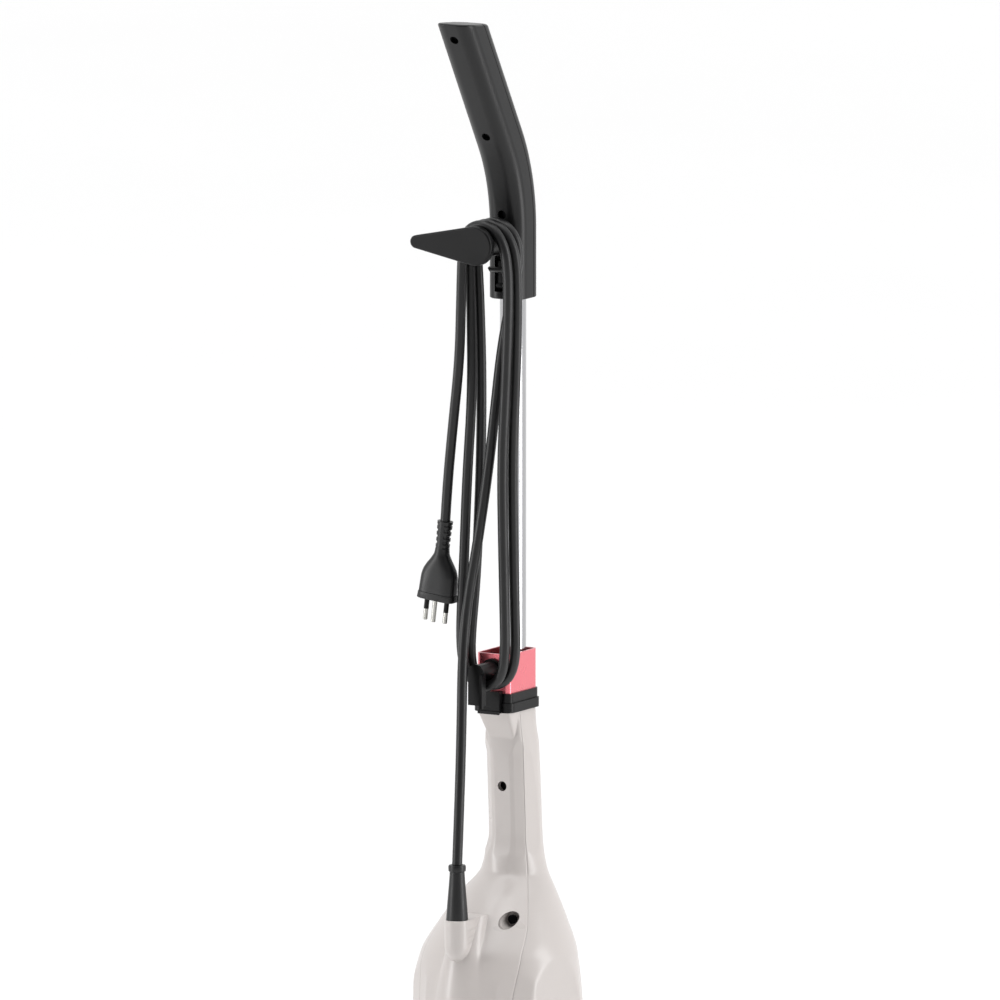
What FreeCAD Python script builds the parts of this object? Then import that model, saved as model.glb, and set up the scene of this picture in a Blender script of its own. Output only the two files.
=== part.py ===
import FreeCAD, Part
import math
import os

import Sketcher
from FreeCAD import Placement, Rotation, Vector

# Steam mop. Millimetres, +Z up, floor at Z = 0. The pole's axis is X = Y = 0.
# +Y is the user's side, where the grip leans and the cord hooks point. -Y is the mop's front.

SIZES = {
    # pole and grip
    "tube_diameter": 22.0, "tube_wall": 1.2, "tube_foot_z": 600.0, "tube_top_z": 1036.0,
    "fit_gap": 0.05, "part_gap": 0.4,
    "grip_foot_z": 1000.0, "grip_width": 34.0, "grip_depth": 36.0, "grip_corner": 12.0,
    "grip_wall": 2.6, "grip_seam": 5.0, "bend_start_z": 1058.0, "bend_radius": 150.0,
    "bend_angle": 31.2, "grip_reach": 134.0, "grip_hollow": 104.0, "grip_end_z": 1239.6,
    "grip_end_tilt": 4.7,
    # cord hooks
    "hook_z": 1050.0, "hook_post_radius": 11.0, "hook_blade_y": 60.0, "hook_blade_thick": 5.5,
    "hook_blade_radius": 16.5, "hook_tip_radius": 5.5, "hook_tip_reach": 56.0,
    "hook_journal_radius": 5.0, "low_hook_z": 691.0, "low_hook_radius": 7.0,
    "low_hook_y": 58.0, "low_hook_width": 15.0,
    # latch in the grip
    "latch_z": 1011.0, "latch_y": 14.2, "latch_width": 13.0, "latch_pin_radius": 1.5,
    # collar and ring on top of the body
    "collar_half_width": 16.0, "collar_front": 13.5, "collar_rear": 34.0, "collar_wall": 1.6,
    "collar_corner": 4.5, "collar_foot_z": 671.0, "collar_top_z": 704.0, "ring_foot_z": 655.0,
    "ring_step_z": 663.0, "ring_lip": 2.7, "ring_upper_lip": 1.4,
    # body shells
    "shell_wall": 2.6, "panel_share": 0.74, "foot_z": 145.0,
    # cord outlet
    "outlet_y": 93.0, "outlet_top_z": 488.0, "outlet_radius": 10.5, "relief_seat": 14.0,
    "relief_top_z": 534.3, "relief_root": 8.4, "relief_tip": 6.4, "cord_diameter": 8.5,
    # water tank and controls on the front
    "bay_foot_z": 199.0, "bay_top_z": 391.0, "bay_back_y": -8.0, "bay_wall": 2.5,
    "tank_wall": 2.2, "cap_radius": 11.5, "cap_height": 10.0, "knob_z": 457.0,
    "knob_radius": 15.0, "button_z": 412.0, "button_radius": 8.0, "lamp_z": 432.0,
    "lamp_radius": 2.5,
    # steam works
    "boiler_radius": 30.0, "boiler_foot_z": 268.0, "boiler_height": 100.0, "boiler_y": 38.0,
    "boiler_wall": 2.0,
    # foot joint
    "swivel_z": 100.0, "lug_radius": 15.5, "lug_half": 12.0, "ear_thick": 7.0,
    "tilt_z": 46.0, "barrel_radius": 13.0, "barrel_half": 30.0, "pin_radius": 4.0,
    # floor head
    "head_width": 290.0, "head_depth": 190.0, "head_corner": 30.0, "pad_thick": 7.5,
    "pad_margin": 5.0, "strip_thick": 1.5, "base_thick": 12.0, "base_floor": 4.0,
    "base_rim": 4.0, "cover_wall": 2.5,
}

doc = FreeCAD.newDocument("steam_mop")
sheet = doc.addObject("Spreadsheet::Sheet", "Sizes")
for row, (alias, number) in enumerate(SIZES.items(), start=1):
    sheet.set(f"A{row}", alias)
    sheet.set(f"B{row}", str(number))
    sheet.setAlias(f"B{row}", alias)
doc.recompute()

PIECES = []
AXES = {"X": Rotation(Vector(0, 1, 0), 90), "Y": Rotation(Vector(1, 0, 0), -90), "Z": Rotation()}


def size(alias):
    """A driving dimension, read back from the sheet."""
    return float(sheet.get(alias))


def keep(obj, label):
    """Marks an object as one of the mop's pieces; its label names its STEP file."""
    obj.Label = label
    PIECES.append(obj)
    return obj


def bind(obj, **expressions):
    """Ties properties to the sheet. place_x, place_y and place_z stand for the placement's base."""
    for prop, text in expressions.items():
        path = prop.replace("place_", "Placement.Base.") if prop.startswith("place_") else prop
        words = [f"Sizes.{w}" if w in SIZES else w for w in text.split()]
        obj.setExpression(path, " ".join(words))
    return obj


def cylinder(name, axis, radius, height, x="0", y="0", z="0"):
    """A cylinder that starts at x, y, z and runs along +axis; all sizes are sheet expressions."""
    obj = doc.addObject("Part::Cylinder", name)
    obj.Placement = Placement(Vector(), AXES[axis])
    return bind(obj, Radius=radius, Height=height, place_x=x, place_y=y, place_z=z)


def cone(name, axis, radius, end_radius, height, x="0", y="0", z="0"):
    """A cone from radius to end_radius that starts at x, y, z and runs along +axis."""
    obj = doc.addObject("Part::Cone", name)
    obj.Placement = Placement(Vector(), AXES[axis])
    return bind(obj, Radius1=radius, Radius2=end_radius, Height=height,
                place_x=x, place_y=y, place_z=z)


def box(name, length, width, height, x="0", y="0", z="0"):
    """A box centred on x and y that stands on z."""
    obj = doc.addObject("Part::Box", name)
    return bind(obj, Length=length, Width=width, Height=height,
                place_x=f"{x} - ( {length} ) / 2", place_y=f"{y} - ( {width} ) / 2", place_z=z)


def fuse(name, *members):
    """Joins objects into one solid."""
    obj = doc.addObject("Part::MultiFuse", name)
    obj.Shapes = list(members)
    obj.Refine = True
    return obj


def cut(name, base, *tools):
    """Takes tools away from base."""
    obj = doc.addObject("Part::Cut", name)
    obj.Base = base
    obj.Tool = tools[0] if len(tools) == 1 else fuse(name + "_tools", *tools)
    return obj


def origin_plane(body, role):
    """One of a body's own origin planes."""
    return next(f for f in body.Origin.OriginFeatures if f.Role == role)


def sketch_on(body, name, role, offset=None):
    """A sketch on an origin plane of the body, moved along the plane's normal by a sheet expression."""
    sketch = body.newObject("Sketcher::SketchObject", name)
    sketch.AttachmentSupport = [(origin_plane(body, role), "")]
    sketch.MapMode = "FlatFace"
    if offset:
        words = [f"Sizes.{w}" if w in SIZES else w for w in offset.split()]
        sketch.setExpression("AttachmentOffset.Base.z", " ".join(words))
    return sketch


def rounded_rectangle(sketch, left, right, low, high, corner):
    """Draws a rectangle with round corners, fixed by five sheet expressions."""
    x0, x1, y0, y1, r = -20.0, 20.0, -20.0, 20.0, 4.0
    corners = [(x0 + r, y0 + r, 180), (x1 - r, y0 + r, 270), (x1 - r, y1 - r, 0), (x0 + r, y1 - r, 90)]
    ends = [((x0 + r, y0), (x1 - r, y0)), ((x1, y0 + r), (x1, y1 - r)),
            ((x1 - r, y1), (x0 + r, y1)), ((x0, y1 - r), (x0, y0 + r))]
    for start, end in ends:
        sketch.addGeometry(Part.LineSegment(Vector(*start), Vector(*end)))
    for cx, cy, angle in corners:
        circle = Part.Circle(Vector(cx, cy), Vector(0, 0, 1), r)
        sketch.addGeometry(Part.ArcOfCircle(circle, math.radians(angle), math.radians(angle + 90)))
    for side in range(4):
        arc_before, arc_after = 4 + side, 4 + (side + 1) % 4
        sketch.addConstraint(Sketcher.Constraint("Tangent", arc_before, 2, side, 1))
        sketch.addConstraint(Sketcher.Constraint("Tangent", side, 2, arc_after, 1))
        sketch.addConstraint(Sketcher.Constraint(("Horizontal", "Vertical")[side % 2], side))
    for arc in (5, 6, 7):
        sketch.addConstraint(Sketcher.Constraint("Equal", 4, arc))
    named = [("low", "DistanceY", 0, y0, low), ("right", "DistanceX", 1, x1, right),
             ("high", "DistanceY", 2, y1, high), ("left", "DistanceX", 3, x0, left)]
    for label, kind, line, value, text in named:
        index = sketch.addConstraint(Sketcher.Constraint(kind, line, 1, value))
        sketch.renameConstraint(index, label)
        bind(sketch, **{f"Constraints.{label}": text})
    index = sketch.addConstraint(Sketcher.Constraint("Radius", 4, r))
    sketch.renameConstraint(index, "corner")
    bind(sketch, **{"Constraints.corner": corner})


def circle_in(sketch, label, radius, x="0", y="0"):
    """Draws a circle whose radius and centre are sheet expressions."""
    geo = sketch.addGeometry(Part.Circle(Vector(1, 1, 0), Vector(0, 0, 1), 5.0))
    for part, kind, text, ends in (("r", "Radius", radius, (geo,)), ("x", "DistanceX", x, (geo, 3)),
                                   ("y", "DistanceY", y, (geo, 3))):
        index = sketch.addConstraint(Sketcher.Constraint(kind, *ends, 5.0 if part == "r" else 1.0))
        sketch.renameConstraint(index, f"{label}_{part}")
        bind(sketch, **{f"Constraints.{label}_{part}": text})


def pad(body, name, sketch, length, reverse=False):
    """Adds material from a sketch."""
    obj = body.newObject("PartDesign::Pad", name)
    obj.Profile = sketch
    obj.Reversed = reverse
    bind(obj, Length=length)
    return obj


def pocket(body, name, sketch, length, reverse=False):
    """Takes material away from a sketch."""
    obj = body.newObject("PartDesign::Pocket", name)
    obj.Profile = sketch
    obj.Reversed = reverse
    bind(obj, Length=length)
    return obj


def slab(name, z, height, left, right, low, high, corner):
    """A PartDesign body: one rounded rectangle standing on z."""
    body = doc.addObject("PartDesign::Body", name)
    outline = sketch_on(body, name + "_outline", "XY_Plane", z)
    rounded_rectangle(outline, left, right, low, high, corner)
    pad(body, name + "_pad", outline, height)
    return body


def feature(name, shape, label, placement=Placement()):
    """A piece whose shape Part's own functions make from the sheet's sizes."""
    obj = doc.addObject("Part::Feature", name)
    obj.Shape = shape
    obj.Placement = placement
    return keep(obj, label)


# ---- Pole: one polished steel tube from the body's neck into the grip ----

def build_pole():
    outer = cylinder("tube_outside", "Z", "tube_diameter / 2", "tube_top_z - tube_foot_z",
                     z="tube_foot_z")
    inner = cylinder("tube_bore", "Z", "tube_diameter / 2 - tube_wall",
                     "tube_top_z - tube_foot_z + 2", z="tube_foot_z - 1")
    keep(cut("pole_tube", outer, inner), "pole_tube")


# ---- Grip: two plastic half shells that lean back over a bend ----

def grip_frame(station):
    """Centre point, forward direction and rearward normal at a distance along the grip's centreline."""
    radius = size("bend_radius")
    angle = min(max(station / radius, 0), math.radians(size("bend_angle")))
    beyond = max(station - radius * math.radians(size("bend_angle")), 0)
    point = Vector(0, radius * (1 - math.cos(angle)), size("bend_start_z") + radius * math.sin(angle))
    along = Vector(0, math.sin(angle), math.cos(angle))
    return point + along * beyond, along, Vector(0, math.cos(angle), -math.sin(angle))


def grip_path(start_z, reach):
    """The grip's centreline: a straight foot, the bend, and a straight of the given reach."""
    bend = size("bend_radius") * math.radians(size("bend_angle"))
    foot, start = Vector(0, 0, start_z), grip_frame(0)[0]
    middle, end = grip_frame(bend / 2)[0], grip_frame(bend)[0]
    tip = grip_frame(bend + reach)[0]
    return Part.Wire([Part.LineSegment(foot, start).toShape(), Part.Arc(start, middle, end).toShape(),
                      Part.LineSegment(end, tip).toShape()])


def rounded_outline(x0, x1, y0, y1, z, corner):
    """A closed wire: a rectangle with round corners at height z."""
    k = corner * (1 - math.sqrt(0.5))
    points = [(x0 + corner, y0), (x1 - corner, y0), (x1 - k, y0 + k), (x1, y0 + corner),
              (x1, y1 - corner), (x1 - k, y1 - k), (x1 - corner, y1), (x0 + corner, y1),
              (x0 + k, y1 - k), (x0, y1 - corner), (x0, y0 + corner), (x0 + k, y0 + k)]
    p = [Vector(x, y, z) for x, y in points]
    lines = [(p[0], p[1]), (p[3], p[4]), (p[6], p[7]), (p[9], p[10])]
    arcs = [(p[1], p[2], p[3]), (p[4], p[5], p[6]), (p[7], p[8], p[9]), (p[10], p[11], p[0])]
    edges = []
    for line, arc in zip(lines, arcs):
        edges.append(Part.LineSegment(*line).toShape())
        edges.append(Part.Arc(*arc).toShape())
    return Part.Wire(edges)


def sweep(outline, path):
    """A solid swept along a path."""
    return path.makePipeShell([outline], True, False)


def grip_hole(station, depth, far_depth, radius):
    """A cylinder square to the grip's rear face, between two depths below that face."""
    point, _, normal = grip_frame(station)
    face = point + normal * (size("grip_depth") / 2)
    return Part.makeCylinder(radius, far_depth - depth, face - normal * depth, normal * -1)


GRIP_SCREW_STATIONS = (14.8, 96.6, 198.0)
RECESS_RADIUS, RECESS_DEPTH, CUP_WALL, CUP_FLOOR, CUP_START = 3.5, 5.5, 1.8, 2.2, 1.0
SCREW_HEAD_RADIUS, SCREW_HEAD_HEIGHT, SCREW_SHANK_RADIUS, SCREW_LENGTH = 3.2, 2.4, 1.5, 14.0


def build_grip():
    half, back = size("grip_width") / 2, size("grip_depth") / 2
    foot, wall, corner = size("grip_foot_z"), size("grip_wall"), size("grip_corner")
    reach, far = size("grip_reach"), 60
    path = grip_path(foot, reach)
    whole = sweep(rounded_outline(-half, half, -back, back, foot, corner), path)
    end_point = grip_frame(size("bend_radius") * math.radians(size("bend_angle")) + reach)[0]
    trim = Part.makeBox(4 * far, 4 * far, far, Vector(-2 * far, -2 * far, 0))
    trim.Placement = Placement(Vector(0, end_point.y, size("grip_end_z")),
                               Rotation(Vector(1, 0, 0), size("grip_end_tilt")))
    whole = whole.cut(trim)
    hollow_path = grip_path(foot - 1, size("grip_hollow"))
    hollow = sweep(rounded_outline(wall - half, half - wall, wall - back, back - wall,
                                   foot - 1, corner - wall), hollow_path)
    seam = -size("grip_seam")
    rear_side = Part.makePolygon([Vector(-far, seam, foot - 1), Vector(far, seam, foot - 1),
                                  Vector(far, far, foot - 1), Vector(-far, far, foot - 1),
                                  Vector(-far, seam, foot - 1)])
    rear_half = sweep(Part.Wire(rear_side.Edges), grip_path(foot - 1, reach + far))
    shell = whole.cut(hollow)
    rear, front = shell.common(rear_half), shell.cut(rear_half)
    cup_depth = RECESS_DEPTH + CUP_FLOOR
    screws = []
    for station in GRIP_SCREW_STATIONS:
        cup = grip_hole(station, CUP_START, cup_depth, RECESS_RADIUS + CUP_WALL)
        boss = grip_hole(station, cup_depth, size("grip_depth") - wall / 2, 4.2).common(whole)
        head_top = RECESS_DEPTH - SCREW_HEAD_HEIGHT
        rear = rear.fuse(cup).cut(grip_hole(station, -2, RECESS_DEPTH, RECESS_RADIUS))
        rear = rear.cut(grip_hole(station, 0, cup_depth, SCREW_SHANK_RADIUS + 0.2))
        rear = rear.cut(boss)
        front = front.fuse(boss).cut(grip_hole(station, 0, RECESS_DEPTH + SCREW_LENGTH,
                                               SCREW_SHANK_RADIUS))
        head = grip_hole(station, head_top, RECESS_DEPTH, SCREW_HEAD_RADIUS)
        shank = grip_hole(station, RECESS_DEPTH, RECESS_DEPTH + SCREW_LENGTH, SCREW_SHANK_RADIUS)
        screws.append(head.fuse(shank))
    rear = rear.fuse(grip_bearing()).cut(hook_bore()).fuse(latch_lugs()).cut(latch_slot())
    feature("grip_rear", rear.removeSplitter(), "handle_rear_shell")
    feature("grip_front", front.removeSplitter(), "handle_front_shell")
    feature("grip_screws", Part.makeCompound(screws), "handle_screws")
    bush_outline = rounded_outline(wall - half, half - wall, wall - back, latch_inner_y(),
                                   foot, corner - wall)
    bush = Part.Face(bush_outline).extrude(Vector(0, 0, latch_bush_height()))
    bore = Part.makeCylinder(size("tube_diameter") / 2, 80, Vector(0, 0, foot - 1))
    feature("grip_bush", bush.cut(bore), "pole_bush")


def latch_inner_y():
    """The rear face of the bush stops just short of the latch lever."""
    return size("tube_diameter") / 2 + 0.6


def latch_bush_height():
    """The bush ends level with the pole's top."""
    return size("tube_top_z") - size("grip_foot_z")


def grip_bearing():
    """A ring inside the rear shell that carries the hook's journal."""
    inner_face = size("grip_depth") / 2 - size("grip_wall")
    return Part.makeCylinder(size("hook_journal_radius") + 3, 3.4,
                             Vector(0, inner_face - 3.0, size("hook_z")), Vector(0, 1, 0))


def hook_bore():
    """The running bore for the hook's journal."""
    return Part.makeCylinder(size("hook_journal_radius") + size("fit_gap"), 30,
                             Vector(0, 6, size("hook_z")), Vector(0, 1, 0))


def latch_slot():
    """The window in the rear shell that the latch lever swings through."""
    half = size("latch_width") / 2 + 1.0
    window = Part.makeBox(2 * half, 12, 30, Vector(-half, 12, size("latch_z") - 5))
    pin = Part.makeCylinder(size("latch_pin_radius"), 2 * half + 5,
                            Vector(-half - 2.5, size("latch_y"), size("latch_z")), Vector(1, 0, 0))
    return window.fuse(pin)


def latch_lugs():
    """Two lugs inside the rear shell that hold the ends of the latch pin."""
    inner = size("latch_width") / 2 + 1.0
    lugs = [Part.makeBox(3.2, 5.0, 9.0, Vector(x, latch_inner_y() + 0.3, size("latch_z") - 4.5))
            for x in (inner, -inner - 3.2)]
    return Part.makeCompound(lugs)


# ---- Upper cord hook: one moulding that turns in the grip's rear shell ----

def teardrop(z, radius, tip_radius, reach, y, thick):
    """A flat blade in the XZ plane: a round root about the turning axis and a smaller round tip."""
    lean = math.asin((radius - tip_radius) / reach)
    root, tip = Vector(0, y, z), Vector(reach, y, z)
    upper, lower = Vector(math.sin(lean), 0, math.cos(lean)), Vector(math.sin(lean), 0, -math.cos(lean))
    edges = [Part.Arc(root + lower * radius, root - Vector(radius, 0, 0), root + upper * radius),
             Part.LineSegment(root + upper * radius, tip + upper * tip_radius),
             Part.Arc(tip + upper * tip_radius, tip + Vector(tip_radius, 0, 0), tip + lower * tip_radius),
             Part.LineSegment(tip + lower * tip_radius, root + lower * radius)]
    return Part.Face(Part.Wire([e.toShape() for e in edges])).extrude(Vector(0, thick, 0))


def build_upper_hook():
    z, gap, rear = size("hook_z"), size("part_gap"), size("grip_depth") / 2
    inner = rear - size("grip_wall") - 3.0
    along = Vector(0, 1, 0)
    blade = teardrop(z, size("hook_blade_radius"), size("hook_tip_radius"), size("hook_tip_reach"),
                     size("hook_blade_y"), size("hook_blade_thick"))
    post = Part.makeCylinder(size("hook_post_radius"), size("hook_blade_y") - rear - gap,
                             Vector(0, rear + gap, z), along)
    journal = Part.makeCylinder(size("hook_journal_radius"), rear + gap - inner + 1.0,
                                Vector(0, inner - 1.0, z), along)
    thread = Part.makeCylinder(1.5, 9, Vector(0, inner - 1.0, z), along)
    edges_far = [e for e in blade.Edges if e.BoundBox.YMin > size("hook_blade_y") + 0.1]
    blade = blade.makeFillet(1.6, edges_far)
    feature("hook_moulding", blade.fuse(post).fuse(journal).cut(thread).removeSplitter(),
            "cord_hook_blade")
    washer = Part.makeCylinder(7.6, 1.0, Vector(0, inner - 2.0, z), along)
    feature("hook_washer_ring", washer.cut(Part.makeCylinder(1.6, 3, Vector(0, inner - 3.0, z), along)),
            "hook_washer")
    head = Part.makeCylinder(3.0, 2.0, Vector(0, inner - 4.0, z), along)
    shank = Part.makeCylinder(1.5, 9, Vector(0, inner - 2.5, z), along)
    feature("hook_fixing", head.fuse(shank), "hook_screw")


# ---- Latch lever: a sprung tab low on the grip's rear ----

def build_latch():
    z, y, pin_radius = size("latch_z"), size("latch_y"), size("latch_pin_radius")
    half = size("latch_width") / 2
    eye = Part.makeCylinder(pin_radius + 1.1, 2 * half, Vector(-half, y, z), Vector(1, 0, 0))
    plate = Part.makeBox(2 * half, 2.2, 20.5, Vector(-half, y - 1.1, z))
    tab = Part.Face(Part.Wire([
        Part.LineSegment(Vector(0, y, z + 12), Vector(0, y + 9, z + 12)).toShape(),
        Part.Arc(Vector(0, y + 9, z + 12), Vector(0, y + 13.5, z + 13.2),
                 Vector(0, y + 16.6, z + 16.6)).toShape(),
        Part.LineSegment(Vector(0, y + 16.6, z + 16.6), Vector(0, y + 14.6, z + 17.6)).toShape(),
        Part.Arc(Vector(0, y + 14.6, z + 17.6), Vector(0, y + 12.4, z + 15.2),
                 Vector(0, y + 9, z + 14.4)).toShape(),
        Part.LineSegment(Vector(0, y + 9, z + 14.4), Vector(0, y, z + 14.4)).toShape(),
        Part.LineSegment(Vector(0, y, z + 14.4), Vector(0, y, z + 12)).toShape(),
    ])).extrude(Vector(half, 0, 0))
    tab = tab.fuse(tab.mirror(Vector(), Vector(1, 0, 0)))
    bore = Part.makeCylinder(pin_radius + size("fit_gap"), 2 * half + 2,
                             Vector(-half - 1, y, z), Vector(1, 0, 0))
    feature("latch", eye.fuse(plate).fuse(tab).cut(bore).removeSplitter(), "latch_lever")
    pin = cylinder("latch_axle", "X", "latch_pin_radius", "latch_width + 7",
                   x="- latch_width / 2 - 3.5", y="latch_y", z="latch_z")
    keep(pin, "latch_pin")


# ---- Collar, liner and ring at the top of the body ----

def build_collar():
    collar = slab("collar", "collar_foot_z", "collar_top_z - collar_foot_z", "- collar_half_width",
                  "collar_half_width", "- collar_front", "collar_rear", "collar_corner")
    opening = sketch_on(collar, "collar_opening", "XY_Plane", "collar_foot_z")
    rounded_rectangle(opening, "collar_wall - collar_half_width", "collar_half_width - collar_wall",
                      "collar_wall - collar_front", "collar_rear - collar_wall",
                      "collar_corner - collar_wall")
    pocket(collar, "collar_hollow", opening, "collar_top_z - collar_foot_z", reverse=True)
    keep(collar, "pole_collar")
    liner = slab("liner", "collar_foot_z", "19", "collar_wall - collar_half_width",
                 "collar_half_width - collar_wall", "collar_wall - collar_front",
                 "collar_rear - collar_wall", "collar_corner - collar_wall")
    bore = sketch_on(liner, "liner_bore_outline", "XY_Plane", "collar_foot_z")
    circle_in(bore, "bore", "tube_diameter / 2")
    pocket(liner, "liner_bore", bore, "20", reverse=True)
    keep(liner, "collar_liner")
    ring = slab("ring", "ring_foot_z", "ring_step_z - ring_foot_z", "- collar_half_width - ring_lip",
                "collar_half_width + ring_lip", "- collar_front - ring_lip",
                "collar_rear + ring_lip", "collar_corner + ring_lip")
    upper = sketch_on(ring, "ring_upper_outline", "XY_Plane", "ring_step_z")
    rounded_rectangle(upper, "- collar_half_width - ring_upper_lip", "collar_half_width + ring_upper_lip",
                      "- collar_front - ring_upper_lip", "collar_rear + ring_upper_lip",
                      "collar_corner + ring_upper_lip")
    pad(ring, "ring_upper", upper, "collar_foot_z - ring_step_z")
    hole = sketch_on(ring, "ring_hole_outline", "XY_Plane", "ring_foot_z")
    circle_in(hole, "hole", "tube_diameter / 2")
    pocket(ring, "ring_hole", hole, "collar_foot_z - ring_foot_z", reverse=True)
    notch = box("ring_notch", "20", "6", "30", y="collar_rear + 3.2", z="ring_foot_z - 2")
    keep(cut("ring_cut", ring, notch), "neck_ring")


# ---- Lower cord hook and the bracket under it, fixed to the collar's rear ----

def build_lower_hook():
    width = "low_hook_width"
    boss = cylinder("low_hook_boss", "Y", "low_hook_radius + 2", "2.5", y="collar_rear", z="low_hook_z")
    post = cylinder("low_hook_post", "Y", "low_hook_radius", "low_hook_y - collar_rear + 1",
                    y="collar_rear", z="low_hook_z")
    blade = box("low_hook_plate", width, "4", "27", y="low_hook_y + 2", z="low_hook_z - 27")
    crown = cylinder("low_hook_crown", "Y", f"{width} / 2", "4", y="low_hook_y", z="low_hook_z")
    rib = box("low_hook_rib", "2.5", "3", "28", x=f"1.25 - {width} / 2", y="low_hook_y + 5.5",
              z="low_hook_z - 29")
    keep(fuse("low_hook", boss, post, blade, crown, rib), "lower_cord_hook")
    block = box("bracket_block", "20", "6", "18.3", y="collar_rear + 3.2", z="ring_foot_z")
    lip = box("bracket_lip", "20", "2.4", "2.6", y="collar_rear + 6.6", z="ring_foot_z - 1")
    keep(fuse("bracket", block, lip), "hook_bracket")


# ---- Body: a hollow bottle shape, split into a front shell and a narrow rear panel ----

# Each section: height, centre in Y, half width in X, half depth in Y, squareness of the outline.
BODY_SECTIONS = {
    "collar_seat": (655.0, 10.25, 16.0, 23.75, 7.0),
    "throat": (641.0, 6.0, 17.5, 20.0, 5.5),
    "neck_top": (624.0, 0.0, 19.6, 18.4, 4.0),
    "neck": (588.0, -2.2, 21.0, 20.3, 2.9),
    "neck_foot": (548.0, -3.9, 22.0, 22.0, 2.3),
    "shoulder_top": (519.0, -2.2, 27.5, 27.5, 2.0),
    "shoulder": (500.0, 7.0, 40.0, 40.0, 2.0),
    "shoulder_foot": (478.0, 15.0, 53.0, 53.0, 2.0),
    "bulb_top": (452.0, 23.0, 65.5, 65.0, 2.0),
    "bulb": (408.0, 29.0, 74.0, 69.0, 2.0),
    "bulb_foot": (340.0, 27.0, 75.0, 70.0, 2.0),
    "waist": (290.0, 22.0, 69.0, 65.0, 2.0),
    "belly": (245.0, 16.0, 59.0, 56.0, 2.0),
    "hip": (208.0, 10.0, 47.5, 45.5, 2.0),
    "ankle": (175.0, 4.5, 35.5, 34.5, 2.0),
    "foot": (145.0, 0.0, 26.0, 26.0, 2.0),
}
# The raised bulge on the rear panel that runs up to the cord outlet.
BULGE_SECTIONS = {
    "rim": (488.0, 93.0, 10.5, 10.5, 2.0),
    "socket_root": (458.0, 90.0, 13.5, 12.5, 2.0),
    "shoulder": (425.0, 78.0, 25.0, 23.5, 2.0),
    "middle": (375.0, 62.0, 38.0, 38.5, 2.0),
    "tail": (340.0, 52.0, 42.0, 42.0, 2.0),
    "end": (310.0, 44.0, 42.0, 40.0, 2.0),
}
OUTLINE_POINTS = 36


def oval(section, inset=0.0):
    """A closed smooth wire |x/a|^n + |y/b|^n = 1 about the section's centre."""
    z, centre, half_x, half_y, power = section
    points = []
    for step in range(OUTLINE_POINTS):
        angle = 2 * math.pi * step / OUTLINE_POINTS
        c, s = math.cos(angle), math.sin(angle)
        x = (half_x - inset) * math.copysign(abs(c) ** (2 / power), c)
        y = (half_y - inset) * math.copysign(abs(s) ** (2 / power), s)
        points.append(Vector(x, centre + y, z))
    curve = Part.BSplineCurve()
    curve.interpolate(points, PeriodicFlag=True)
    return Part.Wire(curve.toShape())


def loft(sections, inset=0.0):
    """A smooth solid through the sections."""
    return Part.makeLoft([oval(s, inset) for s in sections], True, False)


def panel_line():
    """Points (Y, Z) of the line between the rear panel and the front shell, seen from the side."""
    return [(s[1] + size("panel_share") * s[3], s[0]) for s in BODY_SECTIONS.values()]


def rear_region():
    """Everything behind the panel line, as one prism across the body."""
    line = panel_line()
    top, foot = (line[0][0], 670.0), (line[-1][0], 120.0)
    outline = [Vector(-100, y, z) for y, z in [top] + line + [foot]]
    outline += [Vector(-100, 130, 120), Vector(-100, 130, 670)]
    return Part.Face(Part.makePolygon(outline + outline[:1])).extrude(Vector(200, 0, 0))


def block_between(x, y0, y1, z0, z1):
    """A box across X = -x to x."""
    return Part.makeBox(2 * x, y1 - y0, z1 - z0, Vector(-x, y0, z0))


def rod_y(x, y0, y1, z, radius):
    """A cylinder along Y."""
    return Part.makeCylinder(radius, y1 - y0, Vector(x, y0, z), Vector(0, 1, 0))


# Rear panel screws: X, height, and the depth in Y of the face that the screw's head sits on.
BODY_SCREWS = ((0.0, 590.0, 11.0), (27.0, 484.0, 46.0), (-27.0, 484.0, 46.0),
               (22.0, 232.0, 48.0), (-22.0, 232.0, 48.0))
BODY_HOLE_RADIUS = 4.2


def body_solids():
    """The body's outer solid with its bulge, and the hollow in it."""
    sections = list(BODY_SECTIONS.values())
    bulge = list(BULGE_SECTIONS.values())
    outside = loft(sections).fuse(loft(bulge))
    return outside, loft(sections, size("shell_wall"))


def front_y(z):
    """The body's front face on the centre plane at height z, between two sections."""
    ordered = sorted(BODY_SECTIONS.values())
    for low, high in zip(ordered, ordered[1:]):
        if low[0] <= z <= high[0]:
            share = (z - low[0]) / (high[0] - low[0])
            return (low[1] - low[3]) * (1 - share) + (high[1] - high[3]) * share
    raise ValueError("height outside the body")


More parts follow.
